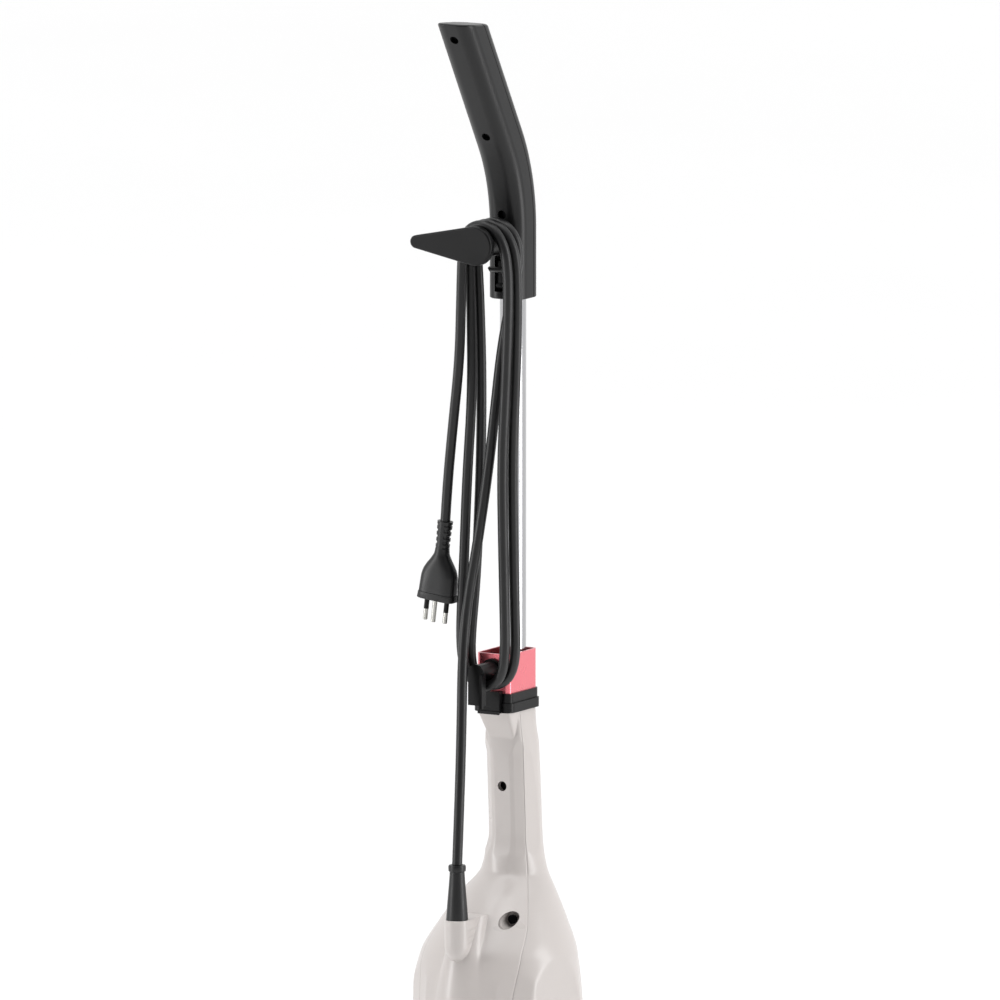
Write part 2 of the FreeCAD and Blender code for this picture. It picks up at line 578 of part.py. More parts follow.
def build_body():
    outside, inside = body_solids()
    wall, seat = size("shell_wall"), size("relief_seat")
    outlet_y, rim = size("outlet_y"), size("outlet_top_z")
    floor_trim = block_between(60, -60, 60, size("foot_z") - 20, size("foot_z") + wall)
    inside = inside.cut(floor_trim)
    shell = outside.cut(inside)
    rear_side = rear_region()
    rear, front = shell.common(rear_side), shell.cut(rear_side)
    relief_hole = Part.makeCylinder(size("relief_root"), seat + 2, Vector(0, outlet_y, rim - seat))
    cord_way = Part.makeCylinder(size("cord_diameter") / 2 + 1, 60, Vector(0, outlet_y, rim - seat - 20))
    rear = rear.cut(relief_hole).cut(cord_way)
    screws, bay_bosses = [], []
    for x, z, seat_y in BODY_SCREWS:
        cup = rod_y(x, seat_y - 2.2, seat_y + 60, z, BODY_HOLE_RADIUS + 2).common(outside)
        front = front.cut(cup)
        rear = rear.fuse(cup).cut(rod_y(x, seat_y, seat_y + 70, z, BODY_HOLE_RADIUS))
        rear = rear.cut(rod_y(x, seat_y - 3, seat_y + 1, z, 1.9))
        pilot = rod_y(x, seat_y - 16, seat_y, z, 1.6)
        if size("bay_foot_z") < z < size("bay_top_z"):
            bay_bosses.append(rod_y(x, size("bay_back_y"), seat_y - 2.2, z, 4.2).cut(pilot))
        elif z < size("tube_foot_z") - 40:
            front = front.fuse(rod_y(x, -90, seat_y - 2.2, z, 4.2).common(outside)).cut(pilot)
        screws.append(rod_y(x, seat_y, seat_y + 2.6, z, 3.8).fuse(rod_y(x, seat_y - 15, seat_y, z, 1.6)))
    bay_wall = size("bay_wall")
    bay_x = 100
    bay_gap = block_between(bay_x, -200, size("bay_back_y"), size("bay_foot_z"), size("bay_top_z"))
    front = front.cut(bay_gap)
    pole_way = Part.makeCylinder(size("tube_diameter") / 2 + size("fit_gap"), 100,
                                 Vector(0, 0, size("tube_foot_z")))
    front = front.cut(pole_way)
    knob_z, button_z, lamp_z = size("knob_z"), size("button_z"), size("lamp_z")
    for z, radius in ((knob_z, 5.0), (button_z, size("button_radius") + 0.4), (lamp_z, size("lamp_radius"))):
        front = front.cut(rod_y(0, -90, -10, z, radius))
    latch_hole = block_between(12.4, -90, -14, 178.0, 192.4)
    front = front.cut(latch_hole)
    feature("shell_front", front, "body_front_shell")
    feature("shell_rear", rear.removeSplitter(), "body_rear_panel")
    feature("panel_screws", Part.makeCompound(screws), "body_screws")
    bay_block = block_between(bay_x, -200, size("bay_back_y") + bay_wall, size("bay_foot_z") - bay_wall,
                              size("bay_top_z") + bay_wall)
    port = rod_y(0, -20, 10, 222.0, 6.4)
    bay = inside.common(bay_block).cut(bay_gap).cut(port)
    for boss in bay_bosses:
        bay = bay.fuse(boss)
    feature("bay", bay.removeSplitter(), "tank_bay")
    build_tank(outside, inside)
    socket = loft([s for s in BODY_SECTIONS.values()], wall + 0.3)
    socket = socket.common(block_between(60, -60, 60, 572.0, 654.0))
    socket = socket.cut(Part.makeCylinder(size("tube_diameter") / 2, 100, Vector(0, 0, size("tube_foot_z"))))
    socket = socket.cut(rod_y(0, 8.6, 60, 590.0, BODY_HOLE_RADIUS + 2.3))
    socket = socket.cut(rod_y(0, -6, 20, 590.0, 1.6))
    feature("pole_seat", socket.removeSplitter(), "pole_socket")


# ---- Water tank: lifts forward out of its bay, with a cap and an outlet valve ----

def build_tank(outside, inside):
    gap, wall = size("part_gap"), size("tank_wall")
    back, foot, top = size("bay_back_y") - gap, size("bay_foot_z") + gap, size("bay_top_z") - gap
    block = block_between(100, -200, back, foot, top)
    tank = outside.common(block)
    water = loft(list(BODY_SECTIONS.values()), wall)
    water = water.common(block_between(100, -200, back - wall, foot + wall, top - wall))
    cap_radius, cap_height = size("cap_radius"), size("cap_height")
    cap_y = (front_y(top) + back) / 2
    well = Part.makeCylinder(cap_radius + 1.5, 60, Vector(0, cap_y, top - cap_height - 1.0))
    well_wall = Part.makeCylinder(cap_radius + 1.5 + wall, cap_height + 1.0 + wall,
                                  Vector(0, cap_y, top - cap_height - 1.0 - wall))
    filler = Part.makeCylinder(cap_radius - 5, 60, Vector(0, cap_y, top - cap_height - 30))
    tank = tank.cut(water).fuse(well_wall.common(outside.common(block))).cut(well)
    tank = tank.cut(filler).cut(rod_y(0, back - wall - 2, back + 1, 222.0, 3.0))
    feature("tank", tank.removeSplitter(), "water_tank")
    seal_z = top - cap_height - 1.0
    seal = Part.makeCylinder(cap_radius - 1, 1.0, Vector(0, cap_y, seal_z))
    seal = seal.cut(Part.makeCylinder(cap_radius - 5, 2.0, Vector(0, cap_y, seal_z - 0.5)))
    feature("cap_gasket", seal, "tank_cap_seal")
    disc = Part.makeCylinder(cap_radius, cap_height - 2.5, Vector(0, cap_y, seal_z + 1.0))
    grip = Part.makeBox(2 * cap_radius - 8, 3.0, 2.5,
                        Vector(4 - cap_radius, cap_y - 1.5, seal_z + cap_height - 1.5))
    plug = Part.makeCylinder(cap_radius - 5.4, 5.0, Vector(0, cap_y, seal_z - 4.0))
    feature("cap", disc.fuse(grip).fuse(plug).removeSplitter(), "tank_cap")
    valve = rod_y(0, back - wall, back + 9.0, 222.0, 5.6).cut(rod_y(0, back - wall - 1, back + 12, 222.0, 3.0))
    valve = valve.cut(block_between(20, back - wall - 1, back, 200, 240))
    feature("valve", valve, "tank_valve")


# ---- Controls on the front: steam dial, lamp and power button ----

def build_controls():
    knob_z, button_z, lamp_z = size("knob_z"), size("button_z"), size("lamp_z")
    knob_face, button_face = front_y(knob_z), front_y(button_z)
    dial = rod_y(0, knob_face - 11, knob_face - 3, knob_z, size("knob_radius"))
    dial = dial.makeFillet(1.5, [e for e in dial.Edges if e.BoundBox.YMax < knob_face - 10])
    grip = Part.makeBox(5, 5, 2 * size("knob_radius") - 7,
                        Vector(-2.5, knob_face - 15.5, knob_z - size("knob_radius") + 3.5))
    stem = rod_y(0, knob_face - 3.5, knob_face + 14, knob_z, 4.9)
    feature("dial", dial.fuse(grip).fuse(stem).removeSplitter(), "steam_knob")
    valve = rod_y(0, knob_face + 14.2, knob_face + 34, knob_z, 11)
    feature("dial_valve", valve, "steam_regulator")
    cap = rod_y(0, button_face - 3.0, button_face + 8, button_z, size("button_radius"))
    cap = cap.makeFillet(1.2, [e for e in cap.Edges if e.BoundBox.YMax < button_face - 2])
    flange = rod_y(0, button_face + 6.6, button_face + 8, button_z, size("button_radius") + 2)
    feature("button", cap.fuse(flange), "power_button")
    spring = rod_y(0, button_face + 10.6, button_face + 14, button_z, 4.2)
    spring = spring.cut(rod_y(0, button_face + 7, button_face + 15, button_z, 3.2))
    feature("button_coil", spring, "button_spring")
    switch = Part.makeBox(20, 16, 14, Vector(-10, button_face + 14, button_z - 7))
    feature("switch_block", switch, "power_switch")
    lens = rod_y(0, front_y(lamp_z) - 0.6, front_y(lamp_z) + 6, lamp_z, size("lamp_radius"))
    feature("lens", lens, "indicator_lens")


# ---- Tank latch: a push tab under the tank ----

def build_tank_latch():
    face = front_y(185.0)
    tab = block_between(12.0, face - 3.0, face + 9.0, 178.4, 192.0)
    tab = tab.makeChamfer(1.2, [e for e in tab.Edges if e.BoundBox.YMax < face - 2.9])
    feature("tank_tab", tab, "tank_release_button")


# ---- Steam works inside the body ----

def build_steam_works():
    y = "boiler_y"
    shell = cylinder("boiler_outside", "Z", "boiler_radius", "boiler_height", y=y, z="boiler_foot_z")
    hollow = cylinder("boiler_inside", "Z", "boiler_radius - boiler_wall",
                      "boiler_height - 2 * boiler_wall", y=y, z="boiler_foot_z + boiler_wall")
    keep(cut("boiler_shell", shell, hollow), "boiler")
    legs = [cylinder(f"element_leg_{side}", "Z", "3.5", "boiler_height - 34", x=x, y=y,
                     z="boiler_foot_z + boiler_height - boiler_wall - ( boiler_height - 34 )")
            for side, x in (("left", "-11"), ("right", "11"))]
    bend = doc.addObject("Part::Torus", "element_bend")
    bend.Placement = Placement(Vector(), Rotation(Vector(1, 0, 0), 90))
    bend.Angle3 = 180
    bind(bend, Radius1="11", Radius2="3.5", place_y=y,
         place_z="boiler_foot_z + boiler_height - boiler_wall - ( boiler_height - 34 )")
    bend.Placement = Placement(bend.Placement.Base, Rotation(Vector(1, 0, 0), -90))
    keep(fuse("element", *legs, bend), "heating_element")
    keep(cylinder("thermostat_can", "Z", "9", "7", y=y, z="boiler_foot_z + boiler_height"), "thermostat")
    keep(box("fuse_can", "8", "14", "5", x="18", y=y, z="boiler_foot_z + boiler_height"), "thermal_fuse")
    motor = cylinder("pump_coil", "X", "14", "36", x="-18", y="34", z="405")
    nozzle = cylinder("pump_spout", "X", "4", "50", x="-24", y="34", z="405")
    keep(fuse("pump", motor, nozzle), "water_pump")
    keep(box("pump_plate", "40", "30", "4", y="34", z="386.8"), "pump_bracket")
    keep(box("terminals", "34", "14", "16", y="62", z="436"), "terminal_block")
    keep(box("clamp", "18", "8", "7", y="80", z="444"), "cord_clamp")
    feature("tank_to_pump", hose([Vector(0, 1, 222), Vector(0, 7, 222), Vector(-2, 5, 247),
                                  Vector(-34, 5, 290), Vector(-38, 14, 350), Vector(-37, 28, 396),
                                  Vector(-27, 34, 405)], 3.0),
            "water_hose")
    feature("boiler_to_head", hose([Vector(0, 38, 267.5), Vector(0, 38, 235), Vector(0, 12, 190),
                                    Vector(0, 0, 150)], 3.5), "steam_hose")


def hose(points, radius, share=0.45):
    """A round tube along straight runs joined by tangent arcs; prints each arc's radius."""
    edges, here = [], points[0]
    length = 0.0
    for before, point, after in zip(points, points[1:], points[2:]):
        back, ahead = before - point, after - point
        turn = math.pi - back.getAngle(ahead)
        reach = share * min(back.Length, ahead.Length)
        back.normalize()
        ahead.normalize()
        start, end = point + back * reach, point + ahead * reach
        arc_radius = reach / math.tan(turn / 2)
        inward = (back + ahead).normalize()
        middle = point + inward * (arc_radius / math.cos(turn / 2) - arc_radius)
        edges.append(Part.LineSegment(here, start).toShape())
        edges.append(Part.Arc(start, middle, end).toShape())
        length += (start - here).Length + arc_radius * turn
        print(f"arc radius {arc_radius:.1f} turn {math.degrees(turn):.0f}")
        here = end
    edges.append(Part.LineSegment(here, points[-1]).toShape())
    length += (points[-1] - here).Length
    section = Part.Wire(Part.makeCircle(radius, points[0], points[1] - points[0]))
    tube = Part.Wire(edges).makePipeShell([section], True, False)
    share_of_volume = tube.Volume / (math.pi * radius ** 2 * length)
    print(f"tube length {length:.0f} mm, volume over section times length {share_of_volume:.4f}")
    return tube


# ---- Strain relief, mains cord and plug ----

# The cord's centreline: out of the relief, up to the upper hook, three turns round both hooks, then
# down to the plug.
CORD_ROUTE = (
    (0.0, 93.0, 534.3), (0.6, 88.0, 587.0), (3.6, 79.5, 646.0), (7.8, 70.5, 706.0),
    (7.4, 63.0, 752.0), (1.5, 58.0, 795.0), (-3.4, 53.5, 838.0), (-7.0, 49.0, 879.0),
    (-9.2, 44.0, 920.0), (-11.6, 39.3, 961.0), (-18.0, 35.2, 1003.0), (-24.5, 33.0, 1032.0),
    (-23.2, 33.0, 1053.0), (-11.0, 33.0, 1066.4), (6.6, 33.0, 1066.4), (16.2, 33.0, 1056.6),
    (15.2, 33.0, 1036.0), (12.6, 33.6, 1000.0), (9.4, 35.4, 930.0), (9.3, 38.0, 850.0),
    (12.2, 40.4, 768.0), (16.4, 41.0, 724.0), (17.2, 41.0, 703.0), (14.6, 41.0, 689.5),
    (5.0, 41.0, 678.7), (-10.0, 41.0, 678.9), (-21.5, 41.0, 687.5), (-26.4, 41.0, 706.0),
    (-25.6, 41.0, 738.0), (-24.2, 41.3, 800.0), (-23.8, 42.0, 878.0), (-27.4, 42.6, 940.0),
    (-29.0, 43.0, 1000.0), (-28.0, 43.0, 1036.0), (-22.4, 43.0, 1055.0), (-10.0, 43.0, 1066.6),
    (6.6, 43.0, 1066.4), (16.2, 43.0, 1056.6), (16.2, 43.0, 1036.0), (15.0, 43.4, 1000.0),
    (12.9, 45.0, 926.0), (16.8, 47.8, 850.0), (18.2, 50.0, 782.0), (20.8, 51.0, 730.0),
    (19.8, 51.0, 703.0), (14.8, 51.0, 689.0), (5.0, 51.0, 678.6), (-8.0, 51.0, 679.0),
    (-18.0, 51.0, 688.0), (-21.8, 51.0, 706.0), (-21.4, 51.0, 738.0), (-20.2, 51.5, 795.0),
    (-19.2, 52.0, 866.0), (-23.0, 52.5, 930.0), (-26.0, 53.0, 996.0), (-25.6, 53.0, 1034.0),
    (-20.6, 53.0, 1054.0), (-9.0, 53.0, 1066.4), (6.6, 53.0, 1066.4), (16.4, 53.0, 1056.6),
    (18.2, 53.0, 1038.0), (19.2, 53.0, 1003.0), (20.8, 52.8, 952.0), (27.6, 52.3, 896.0),
    (33.0, 52.0, 846.0), (35.0, 52.0, 815.4),
)
PLUG_TOP = Vector(35.0, 52.0, 815.4)
PLUG_LEAN = 6.8
PLUG_LENGTH, PLUG_WIDTH, PLUG_THICK, PLUG_BAND = 67.0, 34.0, 16.0, 5.5
PIN_SPACING, PIN_LENGTH, PIN_RADIUS, EARTH_OFFSET = 19.0, 19.0, 2.0, 3.0


def plug_section(distance, half_width, half_thick, power):
    """One oval of the plug at a distance below its neck's top, in the plug's own frame."""
    return oval((-distance, 0.0, half_width, half_thick, power))


def build_cord():
    relief = cone("relief_cone", "Z", "relief_root - 0.2", "relief_tip",
                  "relief_top_z - 4 - ( outlet_top_z - relief_seat )", y="outlet_y",
                  z="outlet_top_z - relief_seat")
    tip = cylinder("relief_flange", "Z", "relief_tip + 0.7", "4", y="outlet_y", z="relief_top_z - 4")
    keep(fuse("relief", relief, tip), "strain_relief")
    route = [Vector(*point) for point in CORD_ROUTE]
    feature("flex", hose(route, size("cord_diameter") / 2), "mains_cord")
    lean = Placement(PLUG_TOP, Rotation(Vector(0, 1, 0), -PLUG_LEAN))
    half_width, half_thick, face = PLUG_WIDTH / 2, PLUG_THICK / 2, PLUG_LENGTH - PLUG_BAND
    stations = ((0.0, 6.3, 6.3, 2.0), (24.0, 6.6, 6.6, 2.0), (31.0, 8.2, 7.2, 2.2),
                (42.0, 14.5, 7.8, 3.0), (51.0, 16.2, 8.0, 3.6), (face, half_width - 0.6, half_thick, 4.0))
    moulding = Part.makeLoft([plug_section(*s) for s in stations], True, False)
    band = Part.makeLoft([plug_section(d, half_width, half_thick + 0.6, 4.0)
                          for d in (face, PLUG_LENGTH)], True, False)
    moulding = moulding.fuse(band).removeSplitter()
    feature("plug", moulding, "plug_body", lean)
    outer = [Vector(x, 0, -PLUG_LENGTH) for x in (-PIN_SPACING / 2, PIN_SPACING / 2)]
    earth = Vector(0, EARTH_OFFSET, -PLUG_LENGTH)
    down = Vector(0, 0, -1)
    pins = [Part.makeCylinder(PIN_RADIUS, PIN_LENGTH, base, down) for base in outer + [earth]]
    rounded = [p.makeFillet(0.9, [e for e in p.Edges if e.BoundBox.ZMax < -PLUG_LENGTH - PIN_LENGTH + 0.1])
               for p in pins]
    sleeves = []
    for base in outer:
        sleeve = Part.makeCylinder(PIN_RADIUS + 0.12, PIN_LENGTH / 2, base, down)
        sleeves.append(sleeve.cut(Part.makeCylinder(PIN_RADIUS, PIN_LENGTH, base, down)))
    for name, label, shapes in (("pins", "plug_pins", rounded), ("sleeves", "plug_pin_sleeves", sleeves)):
        feature(name, Part.makeCompound(shapes), label, lean)


# ---- Foot joint: a side swivel in a forked yoke, and a tilt pin in the floor head ----

def build_foot_joint():
    lug = cylinder("lug_eye", "Y", "lug_radius", "2 * lug_half", y="- lug_half", z="swivel_z")
    stem = box("lug_stem", "2 * lug_radius", "2 * lug_half", "22", z="swivel_z")
    sleeve = cone("sleeve_taper", "Z", "22", "26", "foot_z - swivel_z - 19", z="swivel_z + 19")
    bore = cylinder("lug_bore", "Y", "pin_radius + fit_gap", "60", y="-30", z="swivel_z")
    keep(cut("sleeve_drilled", fuse("sleeve_blank", lug, stem, sleeve), bore), "neck_sleeve")
    ears = []
    for side, start in (("rear", "lug_half + 0.5"), ("front", "- lug_half - 0.5 - ear_thick")):
        ears.append(cylinder(f"ear_{side}", "Y", "lug_radius + 0.5", "ear_thick", y=start, z="swivel_z"))
        ears.append(box(f"ear_leg_{side}", "2 * lug_radius + 1", "ear_thick", "24",
                        y=f"{start} + ear_thick / 2", z="swivel_z - 24"))
    web = box("yoke_web", "2 * lug_radius + 1", "2 * lug_half + 1 + 2 * ear_thick", "12", z="swivel_z - 30")
    neck = box("yoke_neck", "2 * lug_radius + 1", "24", "30", z="tilt_z")
    barrel = cylinder("yoke_barrel", "X", "barrel_radius", "2 * barrel_half", x="- barrel_half", z="tilt_z")
    blank = fuse("yoke_blank", *ears, web, neck, barrel)
    swivel_hole = cylinder("yoke_pin_hole", "Y", "pin_radius", "60", y="-30", z="swivel_z")
    tilt_hole = cylinder("barrel_hole", "X", "pin_radius + fit_gap", "80", x="-40", z="tilt_z")
    keep(cut("yoke", blank, swivel_hole, tilt_hole), "swivel_yoke")
    keep(cylinder("swivel_axle", "Y", "pin_radius", "2 * ( lug_half + ear_thick ) + 3",
                  y="- lug_half - ear_thick - 1.5", z="swivel_z"), "swivel_pin")
    keep(cylinder("tilt_axle", "X", "pin_radius", "2 * barrel_half + 24", x="- barrel_half - 12",
                  z="tilt_z"), "tilt_pin")


# ---- Floor head: cover, base, steam plate and the microfibre pad ----

def build_head():
    side, depth = "head_width / 2", "head_depth / 2"
    pad_body = slab("cloth", "0", "pad_thick", f"- {side} - pad_margin", f"{side} + pad_margin",
                    f"- {depth} - pad_margin", f"{depth} + pad_margin", "head_corner + pad_margin")
    keep(pad_body, "microfibre_pad")
    strips = [box(f"strip_{index}", "200", "18", "strip_thick", y=str(y), z="pad_thick")
              for index, y in enumerate((-70, 70))]
    keep(fuse("strips", *strips), "hook_and_loop_strips")
    plate = box("vent_plate", "180", "70", "strip_thick", z="pad_thick")
    vents = [cylinder(f"vent_{index}", "Z", "2", "20", x=str(x), y=str(y), z="0")
             for index, (x, y) in enumerate((x, y) for x in (-75, -45, -15, 15, 45, 75) for y in (-22, 0, 22))]
    keep(cut("vented_plate", plate, *vents), "steam_plate")
    base = slab("base", "pad_thick + strip_thick", "base_thick", f"- {side}", side, f"- {depth}", depth,
                "head_corner")
    tray = sketch_on(base, "tray_outline", "XY_Plane", "pad_thick + strip_thick + base_floor")
    rounded_rectangle(tray, f"base_rim - {side}", f"{side} - base_rim", f"base_rim - {depth}",
                      f"{depth} - base_rim", "head_corner - base_rim")
    pocket(base, "tray", tray, "base_thick - base_floor", reverse=True)
    rib = box("base_rib", "2 * barrel_half + 60", "50", "base_thick - 1", z="pad_thick + strip_thick + 1")
    posts = []
    for name, x in (("left", "barrel_half + 6.4"), ("right", "- barrel_half - 6.4")):
        post = box(f"post_{name}", "12", "24", "tilt_z - pad_thick - strip_thick - base_thick + 1", x=x,
                   z="pad_thick + strip_thick + base_thick - 1")
        crown = cylinder(f"post_crown_{name}", "X", "12", "12", x=f"{x} - 6", z="tilt_z")
        posts += [post, crown]
    bore = cylinder("post_bores", "X", "pin_radius", "100", x="-50", z="tilt_z")
    pan = box("barrel_pan", "2 * barrel_half + 1", "30", "20", z="tilt_z - barrel_radius - 1")
    corners = [(x, y) for x in (-110, 110) for y in (-60, 60)]
    seats = [cylinder(f"screw_seat_{index}", "Z", "3.6", "2.4", x=str(x), y=str(y),
                      z="pad_thick + strip_thick") for index, (x, y) in enumerate(corners)]
    keep(cut("base_drilled", fuse("base_blank", base, rib, *posts), bore, pan, *seats), "head_base")
    screw_z = size("pad_thick") + size("strip_thick")
    heads = [Part.makeCylinder(3.6, 2.4, Vector(x, y, screw_z)) for x, y in corners]
    feature("base_screws", Part.makeCompound(heads), "head_screws")
    cover_foot = size("pad_thick") + size("strip_thick") + size("base_thick")
    width, deep = size("head_width") / 2, size("head_depth") / 2
    wall = size("cover_wall")
    heights = ((0.0, 0.0, 7.0), (9.0, 3.0, 6.0), (17.0, 20.0, 4.5), (22.0, 42.0, 3.5))
    outer = Part.makeLoft([oval((cover_foot + rise, 0, width - inset, deep - inset, power))
                           for rise, inset, power in heights], True, False)
    inner = Part.makeLoft([oval((cover_foot + rise - wall, 0, width - inset - wall, deep - inset - wall, power))
                           for rise, inset, power in heights], True, False)
    skirt = Part.makeLoft([oval((cover_foot - 1, 0, width - wall, deep - wall, 7.0)),
                           oval((cover_foot + 3, 0, width - wall - 1.5, deep - wall - 1.5, 7.0))], True, False)
    shell = outer.cut(inner).cut(skirt)
    opening = size("barrel_half") + 13.4
    yoke_way = block_between(24.0, -26.0, 130.0, cover_foot + 2.5, 90.0)
    post_way = block_between(opening, -16.0, 16.0, cover_foot - 1, 90.0)
    cover = shell.cut(yoke_way).cut(post_way)
    feature("cover", cover.removeSplitter(), "head_cover")
    bumper = rounded_outline(-width - 1.6, width + 1.6, -deep - 1.6, deep + 1.6, cover_foot - 9.0,
                             size("head_corner") + 1.6)
    gap = rounded_outline(-width, width, -deep, deep, cover_foot - 9.0, size("head_corner"))
    band = Part.Face(bumper).cut(Part.Face(gap)).extrude(Vector(0, 0, 6.0))
    feature("bumper", band, "head_bumper")


def write_pieces():
    """Checks every object, then writes one STEP file for each piece."""
    doc.recompute()
    for obj in doc.Objects:
        if {"Invalid", "Error"} & set(obj.State):
            raise RuntimeError(f"{obj.Name} failed: {obj.State}")
    os.makedirs("parts", exist_ok=True)
    for obj in PIECES:
        shape = obj.Shape
        if shape.isNull() or not shape.isValid() or not shape.Solids:
            raise RuntimeError(f"{obj.Label} has no valid solid")
        shape.exportStep(f"parts/{obj.Label}.step")
        print(f"{obj.Label}: {len(shape.Solids)} solids, {shape.Volume / 1000:.1f} cm3")


build_pole()
build_grip()
build_upper_hook()
build_latch()
build_collar()
build_lower_hook()
build_body()
build_controls()
build_tank_latch()
build_steam_works()
build_cord()
build_foot_joint()
build_head()
write_pieces()
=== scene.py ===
import math

import bpy
import numpy as np
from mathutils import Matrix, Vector


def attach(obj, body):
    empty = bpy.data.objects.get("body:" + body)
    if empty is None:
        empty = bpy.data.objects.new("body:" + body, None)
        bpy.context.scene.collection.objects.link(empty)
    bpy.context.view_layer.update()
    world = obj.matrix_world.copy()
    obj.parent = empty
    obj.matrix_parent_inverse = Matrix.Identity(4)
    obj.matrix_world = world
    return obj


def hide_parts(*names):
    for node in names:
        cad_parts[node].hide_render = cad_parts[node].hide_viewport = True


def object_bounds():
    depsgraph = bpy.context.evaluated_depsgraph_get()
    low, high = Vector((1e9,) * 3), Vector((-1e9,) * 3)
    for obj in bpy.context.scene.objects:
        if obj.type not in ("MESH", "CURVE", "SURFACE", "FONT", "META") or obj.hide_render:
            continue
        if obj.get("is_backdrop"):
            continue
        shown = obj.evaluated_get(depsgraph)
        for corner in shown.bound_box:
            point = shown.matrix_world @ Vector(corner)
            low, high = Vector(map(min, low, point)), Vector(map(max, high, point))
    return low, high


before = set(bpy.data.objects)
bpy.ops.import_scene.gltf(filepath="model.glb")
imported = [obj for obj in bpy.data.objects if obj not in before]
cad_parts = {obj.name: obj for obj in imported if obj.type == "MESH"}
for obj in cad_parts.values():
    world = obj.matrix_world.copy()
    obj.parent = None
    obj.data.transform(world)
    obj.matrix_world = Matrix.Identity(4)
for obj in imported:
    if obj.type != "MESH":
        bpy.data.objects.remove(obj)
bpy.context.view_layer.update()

# Studio: a very long lens looks at the mop's upper two thirds from behind and to its left, nearly
# level. Tall soft boxes give the plastics long highlights, and an overhead silk lights the floor.
MM = 0.001
VIEW_TARGET = Vector((9.4 * MM, 5.4 * MM, 829 * MM))
VIEW_TURN, VIEW_RISE = math.radians(210.0), math.radians(8.5)
LENS_MM, SENSOR_MM, VIEW_HEIGHT = 800.0, 36.0, 0.8333
away = Vector((math.sin(VIEW_TURN) * math.cos(VIEW_RISE), -math.cos(VIEW_TURN) * math.cos(VIEW_RISE),
               math.sin(VIEW_RISE)))
camera_data = bpy.data.cameras.new("studio_camera")
camera_data.lens, camera_data.sensor_width = LENS_MM, SENSOR_MM
camera_data.clip_end = 200.0
camera = bpy.data.objects.new("studio_camera", camera_data)
camera.location = VIEW_TARGET + away * (VIEW_HEIGHT * LENS_MM / SENSOR_MM)
camera.rotation_mode = "QUATERNION"
camera.rotation_quaternion = (-away).to_track_quat("-Z", "Y")
bpy.context.scene.collection.objects.link(camera)
bpy.context.scene.camera = camera

def soft_box(name, place, aim, width, height, watts, tint=(1, 1, 1)):
    """One rectangular area light at a place, turned to face a point."""
    data = bpy.data.lights.new(name, "AREA")
    data.shape, data.size, data.size_y, data.energy, data.color = "RECTANGLE", width, height, watts, tint
    lamp = bpy.data.objects.new(name, data)
    lamp.location = place
    lamp.rotation_mode = "QUATERNION"
    lamp.rotation_quaternion = (Vector(aim) - Vector(place)).to_track_quat("-Z", "Y")
    bpy.context.scene.collection.objects.link(lamp)

soft_box("left_strip", (2.1, 2.0, 1.3), (0, 0, 0.75), 0.7, 2.4, 36)
soft_box("right_strip", (-2.2, -0.5, 1.2), (0, 0, 0.75), 0.8, 2.4, 30)
soft_box("top_box", (0.2, 0.8, 3.2), (0, 0, 0.8), 1.6, 1.6, 14)
world = bpy.data.worlds.new("pale_studio")
world.use_nodes = True
bpy.context.scene.world = world
bpy.context.scene.view_settings.view_transform = "Standard"

# The studio's walls are white, with one grey flat behind the place the mop is seen from, so faces
# turned that way read a little darker than those turned to the soft boxes.
def add(tree, kind, fields=None, sockets=None, links=None):
    """Adds one node, sets its fields and sockets, and joins other nodes' outputs to its inputs."""
    node = tree.nodes.new(kind)
    for field, value in (fields or {}).items():
        setattr(node, field, value)
    for socket, value in (sockets or {}).items():
        node.inputs[socket].default_value = value
    for socket, source in (links or {}).items():
        tree.links.new(source, node.inputs[socket])
    return node

sky = world.node_tree
compass = add(sky, "ShaderNodeTexCoord").outputs["Generated"]
towards = add(sky, "ShaderNodeVectorMath", {"operation": "DOT_PRODUCT"}, {1: (-0.36, 0.92, 0.12)},
              {0: compass}).outputs["Value"]
wall = add(sky, "ShaderNodeMapRange", {"interpolation_type": "SMOOTHSTEP"},
           {"From Min": 0.2, "From Max": 0.97, "To Min": 0.98, "To Max": 0.1}, {"Value": towards})
sky.links.new(wall.outputs["Result"], sky.nodes["Background"].inputs["Strength"])
sky.nodes["Background"].inputs["Color"].default_value = (1, 1, 1, 1)
overhead = bpy.data.lights.new("overhead_silk", "SUN")
overhead.energy, overhead.angle = 0.95, math.radians(60)
silk = bpy.data.objects.new("overhead_silk", overhead)
silk.location = (0, 0, 4)
bpy.context.scene.collection.objects.link(silk)

# Floor: a broad pale floor, rolled with matt white paint, that runs on far behind the mop. The paint
# is even, with no gloss.
FLOOR_REACH = 30.0

def linear(code):
    """An sRGB hex colour as linear red, green, blue, alpha."""
    parts = [int(code[i:i + 2], 16) / 255 for i in (1, 3, 5)]
    return [*(c / 12.92 if c <= 0.04045 else ((c + 0.055) / 1.055) ** 2.4 for c in parts), 1.0]

